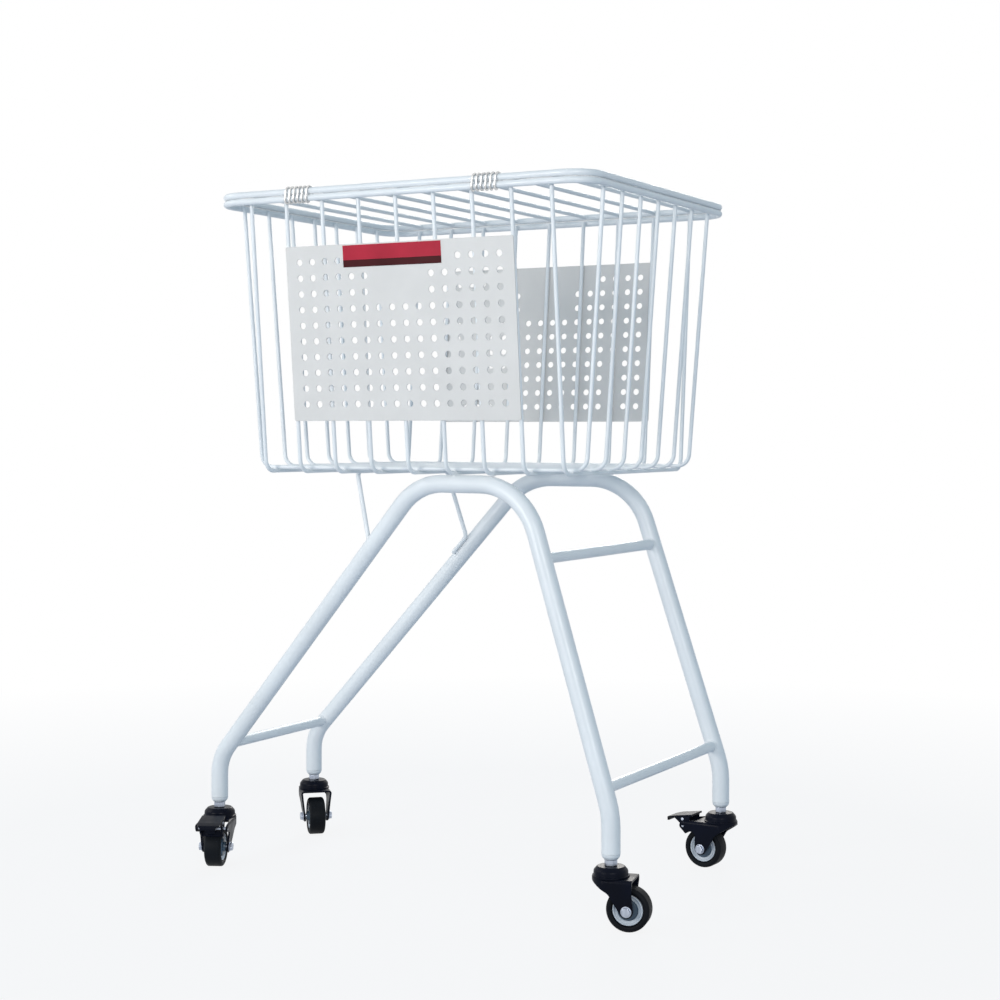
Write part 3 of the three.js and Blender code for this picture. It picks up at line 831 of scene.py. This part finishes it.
def spaced(count, pitch):
    """Places at equal distances, with 0 in their middle."""
    return [(i - (count - 1) / 2) * pitch for i in range(count)]


CROSS_PLACES = spaced(BASKET.cross_count, CROSS_PITCH)
LONG_PLACES = spaced(BASKET.long_count, LONG_PITCH)


def basket_wire(corners):
    return bent([Vector(corner) for corner in corners], [BASKET.wire_bend_radius] * 2)


def long_wire(y):
    """Down the left face, along the floor and up the right face."""
    top_x = BASKET.rim_length / 2 - WIRE_INSET
    top_y = y * BASKET.long_splay
    foot_x = FLOOR_LENGTH / 2
    return basket_wire((
        (-top_x, top_y, WIRE_TOP),
        (-foot_x, y, LONG_FLOOR),
        (foot_x, y, LONG_FLOOR),
        (top_x, top_y, WIRE_TOP),
    ))


def cross_wire(x):
    """Down the front face, under the long wires and up the back face."""
    return basket_wire((
        (x, -FACE_TOP, WIRE_TOP),
        (x, -FACE_FOOT, CROSS_FLOOR),
        (x, FACE_FOOT, CROSS_FLOOR),
        (x, FACE_TOP, WIRE_TOP),
    ))


def build_basket():
    rim = [rim_loop(RIM_HEIGHT)]
    white_rods("rod_basket_rim", rim, ROD_DIAMETER, SIDES.rod, "basket_rim", closed=True)
    for kind, places, path in (
        ("long", LONG_PLACES, long_wire),
        ("cross", CROSS_PLACES, cross_wire),
    ):
        for i, place in enumerate(places, 1):
            node = f"basket_{kind}_wire_{i}"
            white_rods(f"rod_{node}", [path(place)], WIRE_DIAMETER, SIDES.wire, node)
    weld_beads("basket_welds", basket_beads())


def basket_beads():
    """Welds where wires cross on the floor, end at the rim and rest on the arches."""
    level = (CROSS_FLOOR + LONG_FLOOR) / 2
    beads = [(Vector((x, y, level)), BEAD.crossing) for x in CROSS_PLACES for y in LONG_PLACES]
    seam = ROD_DIAMETER / 2 + CLEARANCE / 2
    for end in (-1, 1):
        y = end * (BASKET.rim_depth / 2 - seam)
        beads += [(Vector((x, y, RIM_HEIGHT)), BEAD.cross_end) for x in CROSS_PLACES]
        x = end * (BASKET.rim_length / 2 - seam)
        splay = BASKET.long_splay
        beads += [(Vector((x, y * splay, RIM_HEIGHT)), BEAD.long_end) for y in LONG_PLACES]
    arch_ends = (STAND.arch_left + STAND.arch_radius / 2, STAND.arch_right - STAND.arch_radius / 2)
    for x in CROSS_PLACES:
        if arch_ends[0] < x < arch_ends[1]:
            for side in (-1, 1):
                along = x / cos(STAND.toe_in)
                place = on_frame(along, side, STAND.arch_height + LEG_DIAMETER / 2)
                beads.append((place, BEAD.arch))
    return beads


# Perforated panels


def hole_places():
    column_pitch = (PANEL.width - 2 * PANEL.end_margin) / (PANEL.columns - 1)
    row_pitch = (PANEL.height - PANEL.first_row_drop - PANEL.last_row_rise) / (PANEL.rows - 1)
    for row in range(PANEL.rows):
        kept = PANEL.columns
        if row < len(PANEL.end_holes_of_top_rows):
            kept = PANEL.end_holes_of_top_rows[row]
        for column, x in enumerate(spaced(PANEL.columns, column_pitch)):
            if min(column, PANEL.columns - 1 - column) < kept:
                yield x, -PANEL.first_row_drop - row * row_pitch


def add_outline(curve, points):
    spline = curve.splines.new("POLY")
    spline.points.add(len(points) - 1)
    for point, (x, y) in zip(spline.points, points):
        point.co = (x * MM, y * MM, 0, 1)
    spline.use_cyclic_u = True


def plate_curve(name, outline, holes, thickness, edge_bevel):
    """A flat plate with holes, its edges slightly rounded by the paint."""
    curve = bpy.data.curves.new(name, "CURVE")
    curve.dimensions = "2D"
    curve.fill_mode = "BOTH"
    curve.extrude = (thickness / 2 - edge_bevel) * MM
    curve.bevel_depth = edge_bevel * MM
    curve.bevel_resolution = 1
    curve.offset = -edge_bevel * MM
    add_outline(curve, outline)
    for hole in holes:
        add_outline(curve, hole)
    return curve


def circle(x, y, radius, sides):
    angles = [tau * i / sides for i in range(sides)]
    return [(x + radius * cos(a), y + radius * sin(a)) for a in angles]


def face_place(side, stand_off):
    """The leaning face of the basket: X along it, Y up it and Z out of its front."""
    lean = Matrix.Rotation(-side * FACE_LEAN, 4, "X")
    out = Matrix.Translation((0, side * stand_off, 0)) @ UPRIGHT
    return Matrix.Translation((0, side * FACE_TOP, RIM_HEIGHT)) @ lean @ out


def set_place(thing, place):
    """Moves a piece drawn in metres to a place given in millimetres."""
    body = thing["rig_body"]
    in_metres = place.copy()
    in_metres.translation *= MM
    thing.matrix_world = Matrix.Translation(basket_middle) @ in_metres
    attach(thing, body)


def build_panel(side, node):
    half = PANEL.width / 2
    top, foot = -PANEL.drop_from_rim, -PANEL.drop_from_rim - PANEL.height
    corners = corner_points((-half, foot), (half, foot), (half, top), (-half, top))
    outline = flat(rounded_loop(corners, PANEL.corner_radius))
    radius = PANEL.hole_diameter / 2
    holes = [circle(x, y + top, radius, PANEL.hole_sides) for x, y in hole_places()]
    data = plate_curve(node, outline, holes, PANEL.thickness, PANEL.edge_bevel)
    thing = piece(f"plate_{node}", data, "panel_paint", "cart", node)
    set_place(thing, face_place(side, WIRE_FLAT + CLEARANCE + PANEL.thickness / 2))


def build_band():
    """A plain coloured band with a darker strip below it, where the photographed cart is marked."""
    top = -PANEL.drop_from_rim - BAND.drop
    split, foot = top - BAND.height, top - BAND.height - BAND.strip_height
    stand_off = WIRE_FLAT + CLEARANCE + PANEL.thickness + BAND.thickness / 2
    crimson = band_vinyl("crimson_vinyl", (0.4, 0.022, 0.042), (0.52, 0.03, 0.056))
    maroon = band_vinyl("maroon_vinyl", (0.05, 0.006, 0.008), (0.07, 0.009, 0.012))
    for name, high, low, material in (("band", top, split, crimson), ("band_foot", split, foot, maroon)):
        outline = [(BAND.left, low), (BAND.right, low), (BAND.right, high), (BAND.left, high)]
        data = plate_curve(name, outline, [], BAND.thickness, BAND.edge_bevel)
        thing = piece(name, data, "panel_paint", "cart", material=material)
        set_place(thing, face_place(-1, stand_off))


# Lid and its coil hinges


def build_lid():
    loop = [rim_loop(LID_HEIGHT)]
    white_rods("rod_lid_frame", loop, ROD_DIAMETER, SIDES.rod, "lid_grille", body="lid", closed=True)
    y = BASKET.rim_depth / 2
    wires = [[Vector((x, -y, LID_HEIGHT)), Vector((x, y, LID_HEIGHT))] for x in CROSS_PLACES]
    white_rods("rods_lid_wires", wires, WIRE_DIAMETER, SIDES.wire, body="lid")
    edge = y - ROD_DIAMETER / 2
    beads = [(Vector((x, k * edge, LID_HEIGHT)), BEAD.lid) for x in CROSS_PLACES for k in (-1, 1)]
    weld_beads("lid_welds", beads, "lid")


def coil_path(centre):
    """A wire wound as an oblong helix round the basket's rim and the lid's frame."""
    radius = (ROD_DIAMETER + COIL.wire_diameter) / 2 + COIL.gap
    rise = LID_HEIGHT - RIM_HEIGHT
    around = 2 * pi * radius + 2 * rise
    start_x = centre - COIL.turns * COIL.pitch / 2
    points = []
    for i in range(COIL.turns * COIL.steps + 1):
        x = start_x + COIL.pitch * i / COIL.steps
        way = around * (i % COIL.steps) / COIL.steps
        half = pi * radius
        if way < half:
            angle = -way / radius
            y, z = radius * cos(angle), radius * sin(angle)
        elif way < half + rise:
            y, z = -radius, way - half
        elif way < 2 * half + rise:
            angle = pi - (way - half - rise) / radius
            y, z = radius * cos(angle), rise + radius * sin(angle)
        else:
            y, z = radius, around - way
        points.append(Vector((x, y - BASKET.rim_depth / 2, RIM_HEIGHT + z)))
    return points


def build_coils():
    bright = zinc_plating("bright_spring_wire", (0.55, 0.56, 0.57), (0.74, 0.74, 0.73))
    for side, centre in zip(("left", "right"), COIL.centres):
        name = f"hinge_coil_{side}"
        data = tube_data(name, [coil_path(centre)], COIL.wire_diameter, SIDES.coil)
        piece(f"spring_{name}", data, "zinc", "cart", name, material=bright)


# Casters, drawn with the swivel axis on Z and the wheel trailing along +X


def fork_half_width(height):
    lean = (FORK.top_width - FORK.axle_width) / 2 / (CROWN_TOP - AXLE_HEIGHT)
    return FORK.axle_width / 2 + (height - AXLE_HEIGHT) * lean


def eye_point(degrees):
    angle = radians(degrees)
    x = FORK.trail + FORK.eye_radius * cos(angle)
    return Vector((x, AXLE_HEIGHT + FORK.eye_radius * sin(angle), 0))


def cheek_edges(braked):
    """A fork cheek's front and back edges seen from the side, from the bottom of its eye up."""
    low = FORK.eye_bottom
    front = [eye_point(angle) for angle in range(low, FORK.eye_front - 1, -ARC_DEGREES)]
    nose = (-FORK.nose_radius - CLEARANCE, CROWN_BOTTOM)
    slope = corner_points(FORK.shin, FORK.throat, nose)
    front += bent([front[-1], *slope], radii=[14, 9])[1:]
    back = [eye_point(angle) for angle in range(low, FORK.eye_back + 1, ARC_DEGREES)]
    calf = Vector((*FORK.calf, 0))
    heel = Vector((FORK.heel_reach, FORK.heel_height, 0))
    if braked:
        ear = []
        for degrees in range(LEVER.ear_foot, LEVER.ear_head + 1, 2 * ARC_DEGREES):
            angle = radians(degrees)
            x = LEVER.pivot[0] + LEVER.ear_radius * cos(angle)
            ear.append(Vector((x, LEVER.pivot[1] + LEVER.ear_radius * sin(angle), 0)))
        back += bent([back[-1], calf, ear[0]], radii=[4])[1:-1] + ear
    else:
        back += bent([back[-1], calf, heel], radii=[6])[1:]
    back.append(Vector((FORK.heel_reach, CROWN_TOP, 0)))
    return front, back


def fork_channel(name, inset, low, high, start, end, place):
    """The fork's folded section along the trail, set inwards by the metal's thickness or not."""
    foot = fork_half_width(low) - inset
    head = fork_half_width(high) - inset
    corners = corner_points((-foot, low), (-head, high), (head, high), (foot, low))
    fold = FORK.fold_radius - inset
    section = flat(bent(corners, [fold, fold], FOLD_STEP))
    along = place @ Matrix.Rotation(pi / 2, 4, "Z") @ UPRIGHT
    return prism_data(name, section, start, end, along)


def nose_block(name, radius, end, place):
    """An upright block whose front is round about the swivel axis."""
    angles = [radians(degrees) for degrees in range(90, 271, ARC_DEGREES)]
    outline = [(radius * cos(a), radius * sin(a)) for a in angles]
    outline += [(end, -radius - OVERRUN), (end, radius + OVERRUN)]
    return prism_data(name, outline, 0, CROWN_TOP + OVERRUN, place)


def combined(name, base, *steps):
    """One mesh from a solid and the solids that cut it, each with its boolean operation."""
    body = add_object(name, base)
    things = [body]
    for operation, data in steps:
        tool = add_object(name, data)
        things.append(tool)
        modifier = body.modifiers.new(operation, "BOOLEAN")
        modifier.operation = operation
        modifier.solver = "EXACT"
        modifier.object = tool
    graph = bpy.context.evaluated_depsgraph_get()
    mesh = bpy.data.meshes.new_from_object(body.evaluated_get(graph))
    for thing in things:
        bpy.data.objects.remove(thing)
    mesh.shade_smooth()
    mesh.set_sharp_from_angle(angle=FORK_SMOOTH_ANGLE)
    return mesh


def fork_data(name, braked, place):
    """Pressed sheet: a folded channel with a round nose, trimmed to its outline from the side."""
    front, back = cheek_edges(braked)
    top = CROWN_TOP + OVERRUN
    outline = flat([*front, *corner_points((front[-1].x, top), (back[-1].x, top)), *back[:0:-1]])
    half = FORK.top_width / 2 + OVERRUN
    side = prism_data(name, outline, -half, half, place @ UPRIGHT)
    bottom = AXLE_HEIGHT - FORK.eye_radius - OVERRUN
    start = -FORK.nose_radius - OVERRUN
    end = LEVER.pivot[0] + LEVER.ear_radius + OVERRUN
    outer = fork_channel(name, 0, bottom, CROWN_TOP, start, end, place)
    inner = fork_channel(
        name, FORK.sheet, bottom - OVERRUN, CROWN_BOTTOM, start - OVERRUN, end + OVERRUN, place
    )
    inner_nose = nose_block(name, FORK.nose_radius - FORK.sheet, end + 2 * OVERRUN, place)
    behind_crown = fork_channel(
        name, FORK.sheet, FORK.calf[1], top, FORK.heel_reach, end + OVERRUN, place
    )
    hollow = combined(name, inner, ("INTERSECT", inner_nose))
    return combined(
        name,
        outer,
        ("INTERSECT", side),
        ("INTERSECT", nose_block(name, FORK.nose_radius, end + OVERRUN, place)),
        ("DIFFERENCE", hollow),
        ("DIFFERENCE", behind_crown),
    )


def dome_profile():
    bore = STEM.diameter / 2 + CLEARANCE
    brim = FORK.dome_diameter / 2
    brim_top = CROWN_TOP + FORK.dome_rim
    shoulder = FORK.dome_shoulder_diameter / 2
    groove_out, groove_up = FORK.dome_groove
    top = FORK.dome_top_diameter / 2
    return rounded_profile(
        (
            (bore, CROWN_TOP),
            (brim - FORK.dome_undercut, CROWN_TOP),
            (brim, CROWN_TOP - FORK.sheet / 2),
            (brim, brim_top),
            (shoulder + groove_out, brim_top + groove_up),
            (shoulder, CROWN_TOP + FORK.dome_shoulder_height),
            (top, DOME_TOP),
            (bore, DOME_TOP),
        ),
        radii=[0.5, 0.4, 0.5, 0.4, 4, 2],
    )


def across_place(place, reach, height):
    """A place whose Z axis runs across the fork."""
    return place @ Matrix.Translation((reach, 0, height)) @ Matrix.Rotation(-pi / 2, 4, "X")


def hexagonal_piece(name, across_flats, low, high, place, body, edge):
    data = prism_data(name, circle(0, 0, across_flats / sqrt(3), 6), low, high, place)
    soften_edges(piece(name, data, "zinc", body), edge)


def disc_profile(inner, outer, low, high, edge):
    pairs = ((inner, low), (outer, low), (outer, high), (inner, high))
    return rounded_profile(pairs, radii=[edge, edge])


def build_fork(name, place, braked):
    body = f"{name}_swivel"
    sheet = piece(f"{name}_fork_sheet", fork_data(name, braked, place), "black_paint", body)
    soften_edges(sheet, SHEET_EDGE)
    dome, node = f"{name}_fork_dome", f"{name}_fork"
    turned_piece(dome, dome_profile(), STEPS.dome, place, "black_paint", body, node)


def build_stem(name, place):
    rod = STEM.diameter / 2
    rivet = STEM.rivet_diameter / 2
    rivet_top = CROWN_BOTTOM - CLEARANCE
    rivet_foot = rivet_top - STEM.rivet_height
    outline = (
        (STEM.core, rivet_foot),
        (rivet, rivet_foot),
        (rivet, rivet_top),
        (rod, rivet_top),
        (rod, INSERT_BOTTOM + STEM.thread_length),
        (STEM.core, INSERT_BOTTOM + STEM.thread_length),
    )
    profile = rounded_profile(outline, radii=[1.1, 0.3, 0.2, 0.6])
    turned_piece(f"{name}_stem_pin", profile, STEPS.pin, place, "zinc", "cart", f"{name}_stem")
    nut, top = f"{name}_stem_nut", NUT_BOTTOM + STEM.nut_height
    hexagonal_piece(nut, STEM.nut_across, NUT_BOTTOM, top, place, "cart", STEM.nut_edge)


def build_insert(name, place):
    bore = STEM.diameter / 2 + CLEARANCE
    leg = LEG_DIAMETER / 2
    spigot = INSERT.spigot_diameter / 2
    top = INSERT_SHOULDER + INSERT.spigot_length
    outline = (
        (bore, INSERT_BOTTOM),
        (INSERT.end_diameter / 2, INSERT_BOTTOM),
        (leg - INSERT.waist_inset, INSERT_SHOULDER - INSERT.waist_drop),
        (leg, INSERT_SHOULDER),
        (spigot, INSERT_SHOULDER),
        (spigot, top),
        (bore, top),
    )
    profile = rounded_profile(outline, radii=[1.2, 3, 0.3, 0.2, 0.5])
    cup, node = f"{name}_insert_cup", f"{name}_insert"
    turned_piece(cup, profile, STEPS.insert, place, "white_plastic", "cart", node)


def build_axle(name, place):
    body = f"{name}_swivel"
    seat = fork_half_width(AXLE_HEIGHT + AXLE.head_diameter / 2) + CLEARANCE
    centre = across_place(place, FORK.trail, AXLE_HEIGHT)
    reach = seat + AXLE.overhang
    rod = disc_profile(AXLE.core, AXLE.diameter / 2, -reach, reach, AXLE.rod_edge)
    turned_piece(f"{name}_axle_rod", rod, STEPS.pin, centre, "zinc", body, f"{name}_axle")
    for side, word in ((-1, "head"), (1, "nut")):
        washer = disc_profile(
            AXLE.diameter / 2,
            AXLE.washer_diameter / 2,
            side * seat,
            side * (seat - AXLE.washer_height),
            AXLE.washer_edge,
        )
        head = f"{name}_axle_{word}"
        turned_piece(f"{head}_washer", washer, STEPS.washer, centre, "zinc", body)
        end = side * (seat + AXLE.head_height)
        across = AXLE.head_diameter * cos(pi / 6)
        hexagonal_piece(head, across, side * seat, end, centre, body, AXLE.head_edge)


def mirrored_profile(outer_half):
    """A wheel outline from its one half, given from the inside out, as radius and half width."""
    other = [(radius, -half) for radius, half in outer_half]
    return [*other, *reversed(outer_half)]


def build_wheel(name, place):
    body = f"{name}_wheel"
    centre = across_place(place, FORK.trail, AXLE_HEIGHT)
    outer, half = WHEEL.diameter / 2 - WHEEL.tread_inset, WHEEL.width / 2
    seat = WHEEL.seat_diameter / 2
    rim_half = WHEEL.rim_width / 2
    dish = rim_half - WHEEL.rim_dish
    hub, boss = WHEEL.hub_diameter / 2, WHEEL.boss_diameter / 2
    hub_half, boss_half = WHEEL.hub_width / 2, WHEEL.boss_width / 2
    tyre = rounded_profile(
        (
            (seat + CLEARANCE, rim_half - WHEEL.foot_sink),
            (seat + WHEEL.wall_foot, half - WHEEL.wall_sink),
            (outer - WHEEL.shoulder, half),
            (outer, half - WHEEL.shoulder / 2),
            (outer, WHEEL.middle),
        ),
        radii=[0.8, 2, 3],
    )
    rim = rounded_profile(
        (
            (hub + CLEARANCE, dish),
            (hub + WHEEL.dish_inner, dish),
            (seat - WHEEL.dish_outer, dish + WHEEL.dish_rise),
            (seat - WHEEL.rim_lip, rim_half),
            (seat, rim_half),
            (seat, WHEEL.middle),
        ),
        radii=[1, 1.2, 1, 0.6],
    )
    # The hub ring's outer part lies over the rim's inner dish and stands as painted shade there.
    core = rounded_profile(
        (
            (AXLE.diameter / 2 + CLEARANCE, boss_half),
            (boss, boss_half),
            (boss + WHEEL.boss_flare, hub_half),
            (hub - WHEEL.hub_edge, hub_half - WHEEL.hub_crown),
            (hub, hub_half - WHEEL.hub_shoulder),
            (hub, WHEEL.middle),
        ),
        radii=[0.6, 0.8, 0.6, 0.6],
    )
    for word, profile, slot in (
        ("tyre", tyre, "tyre"),
        ("rim", rim, "rim_plastic"),
        ("hub", core, "hub_plastic"),
    ):
        outline, node = mirrored_profile(profile), f"{name}_{word}"
        turned_piece(f"{node}_ring", outline, WHEEL.steps, centre, slot, body, node)


def lever_top(reach):
    share = (reach - LEVER.heel[0]) / (LEVER.toe[0] - LEVER.heel[0])
    return LEVER.heel[1] + share * (LEVER.toe[1] - LEVER.heel[1])


def lever_rows(place):
    """The pedal's middle surface, from its heel to the lip of its rounded toe."""
    inner = LEVER.sheet / 2
    toe_x, toe_z = LEVER.toe[0] - inner, LEVER.toe[1] - inner
    line = bent(
        corner_points(
            (LEVER.heel[0], LEVER.heel[1] - inner),
            (toe_x - LEVER.toe_corner, lever_top(toe_x - LEVER.toe_corner) - inner),
            (toe_x, toe_z - LEVER.toe_drop),
            (toe_x, LEVER.toe[1] - LEVER.toe_lip),
        ),
        radii=[6, 2.2],
    )
    half = LEVER.width / 2
    bend = LEVER.toe_corner
    rows = []
    for point in line:
        over = min(1, max(0, (point.x - (toe_x - bend)) / bend))
        width = half - bend * LEVER.toe_roundness * (1 - sqrt(1 - over**2))
        across = [width * (2 * k / LEVER.columns - 1) for k in range(LEVER.columns + 1)]
        rows.append([place @ Vector((point.x, y, point.y)) for y in across])
    return rows


def lever_plate(name, word, corners, corner_radius, low, high, place):
    """A plate of the brake lever, from its outline seen from the side."""
    outline = flat(rounded_loop(corners, corner_radius))
    data = prism_data(f"{name}_{word}", outline, low, high, place)
    plate = piece(f"{name}_lever_{word}", data, "black_paint", f"{name}_brake")
    soften_edges(plate, LEVER_EDGE)


def build_lever(name, place):
    data = sheet_data(f"{name}_pedal", lever_rows(place))
    pedal = piece(f"{name}_lever_pedal", data, "black_paint", f"{name}_brake", f"{name}_lever")
    thicken(pedal, LEVER.sheet)
    upright = place @ UPRIGHT
    build_cheeks(name, upright)
    build_shoe(name, upright)
    build_claw(name, upright)
    build_lever_pins(name, place)


def build_cheeks(name, upright):
    pivot_x, pivot_z = LEVER.pivot
    radius, inner = LEVER.hub_radius, LEVER.sheet / 2
    cheek = corner_points(
        (LEVER.heel[0] + 2 * inner, lever_top(LEVER.heel[0] + 2 * inner) - inner),
        (pivot_x - radius, pivot_z),
        LEVER.shoe,
        LEVER.shoe_end,
        (pivot_x + radius, pivot_z - radius),
        (pivot_x + radius + LEVER.cheek_flare, pivot_z + LEVER.cheek_flare),
        (LEVER.cheek_toe_reach, lever_top(LEVER.cheek_toe_reach) - inner),
    )
    edge = LEVER.width / 2
    for word, low in (("cheek_front", edge - LEVER.sheet), ("cheek_back", -edge)):
        lever_plate(name, word, cheek, LEVER.cheek_corner, low, low + LEVER.sheet, upright)


def build_shoe(name, upright):
    pivot_x, _ = LEVER.pivot
    top = LEVER.shoe[1] + LEVER.hub_radius
    shoe = corner_points(LEVER.shoe, LEVER.shoe_end, (pivot_x, top), (pivot_x - LEVER.hub_radius, top))
    half = (LEVER.width - LEVER.sheet) / 2
    lever_plate(name, "shoe", shoe, LEVER.shoe_corner, -half, half, upright)


def build_claw(name, upright):
    reach, foot = LEVER.claw
    sheet = LEVER.sheet
    top = lever_top(reach) - sheet / 2
    claw = corner_points(
        (reach, top),
        (reach, foot + 2 * sheet),
        (reach - sheet, foot + LEVER.claw_tip),
        (reach - sheet / 2, foot),
        (reach + sheet, foot + sheet),
        (reach + sheet, top),
    )
    half = LEVER.claw_width / 2
    lever_plate(name, "claw", claw, LEVER.claw_corner, -half, half, upright)


def build_lever_pins(name, place):
    """Bright rivets: the lever's pivot in the fork, and the claw's in the lever's cheeks."""
    pins = (
        ("fork_pin", "swivel", LEVER.pivot, fork_half_width(LEVER.pivot[1])),
        ("lever_rivet", "brake", LEVER.rivet, LEVER.width / 2 + LEVER.rivet_overhang),
    )
    for word, body, centre, half in pins:
        profile = disc_profile(LEVER.pin_core, LEVER.pin_diameter / 2, -half, half, LEVER.pin_edge)
        axis = across_place(place, *centre)
        turned_piece(f"{name}_{word}", profile, STEPS.rivet, axis, "zinc", f"{name}_{body}")


def build_casters():
    for caster in CASTERS:
        name = f"caster_{caster.name}"
        foot = on_frame(caster.foot, caster.side, 0)
        turn = Matrix.Rotation(radians(caster.trail), 4, "Z")
        place = Matrix.Translation(foot) @ turn
        build_insert(name, place)
        build_stem(name, place)
        build_fork(name, place, caster.braked)
        build_axle(name, place)
        build_wheel(name, place)
        if caster.braked:
            build_lever(name, place)


# Studio


def add_camera():
    data = bpy.data.cameras.new("camera")
    data.sensor_width = CAMERA.sensor
    data.lens = CAMERA.focal_pixels / CAMERA.image_size * CAMERA.sensor
    data.shift_y = (CAMERA.centre_row - CAMERA.image_size / 2) / CAMERA.image_size
    camera = add_object("camera", data)
    camera.location = TO_FRAME @ Vector(CAMERA.place)
    camera.rotation_euler = (pi / 2, 0, CAMERA.heading)
    scene.camera = camera


def add_area_light(name, light):
    data = bpy.data.lights.new(name, "AREA")
    data.energy = light.watts
    data.size = light.size * MM
    data.color = light.colour
    lamp = add_object(name, data)
    lamp.location = TO_FRAME @ Vector(light.place)
    aim = (cad_box[0] + cad_box[1]) / 2 - lamp.location
    lamp.rotation_euler = aim.to_track_quat("-Z", "Y").to_euler()


def seen_directly(tree):
    """1 for camera, mirror and glass rays, and 0 for the light that falls on things."""
    path = add_node(tree, "LightPath")
    total = path.outputs["Is Camera Ray"]
    for word in ("Is Glossy Ray", "Is Transmission Ray"):
        total = add_maths(tree, "MAXIMUM", total, path.outputs[word])
    return total


def add_world():
    world = bpy.data.worlds.new("studio")
    world.use_nodes = True
    tree = world.node_tree
    fill = tree.nodes["Background"]
    set_inputs(fill, Color=(*FILL_COLOUR, 1), Strength=FILL_STRENGTH)
    white = add_node(tree, "Background", Color=(1, 1, 1, 1))
    backgrounds = (fill.outputs["Background"], white.outputs["Background"])
    mix = add_node(tree, "MixShader", seen_directly(tree), *backgrounds)
    feed(tree, tree.nodes["World Output"], Surface=mix.outputs["Shader"])
    scene.world = world


def floor_material():
    """Pale floor that keeps the object's shadow near it and turns plain white further away."""
    material, tree, shader = new_material("studio_floor")
    shade = blend_colours(tree, noise(tree, scale=3), FLOOR_DARK, FLOOR_LIGHT)
    feed(tree, shader, Base_Color=shade)
    set_inputs(shader, Roughness=0.9, Specular_IOR_Level=0.0)
    distance = add_node(tree, "VectorMath", add_node(tree, "TexCoord").outputs["Object"])
    distance.operation = "LENGTH"
    fade = add_node(
        tree,
        "MapRange",
        distance.outputs["Value"],
        From_Min=FLOOR_NEAR * MM,
        From_Max=FLOOR_FAR * MM,
        To_Min=1 - FLOOR_SHADOW_SHARE,
    )
    direct = add_maths(tree, "MULTIPLY", fade.outputs["Result"], seen_directly(tree))
    glow = add_node(tree, "Emission")
    mix = add_node(tree, "MixShader", direct, shader.outputs["BSDF"], glow.outputs["Emission"])
    feed(tree, tree.nodes["Material Output"], Surface=mix.outputs["Shader"])
    return material


def add_floor():
    half = FLOOR_SIZE / 2 * MM
    mesh = bpy.data.meshes.new("studio_floor")
    corners = [(-half, -half, 0), (half, -half, 0), (half, half, 0), (-half, half, 0)]
    mesh.from_pydata(corners, [], [(0, 1, 2, 3)])
    mesh.materials.append(floor_material())
    floor = add_object("studio_floor", mesh)


scene.view_settings.view_transform = "Standard"
build_stand()
build_brace()
build_basket()
build_panel(-1, "panel_front")
build_panel(1, "panel_back")
build_band()
build_lid()
build_coils()
build_casters()
add_camera()
for light_name, light in LIGHTS.items():
    add_area_light(light_name, light)
add_world()
add_floor()
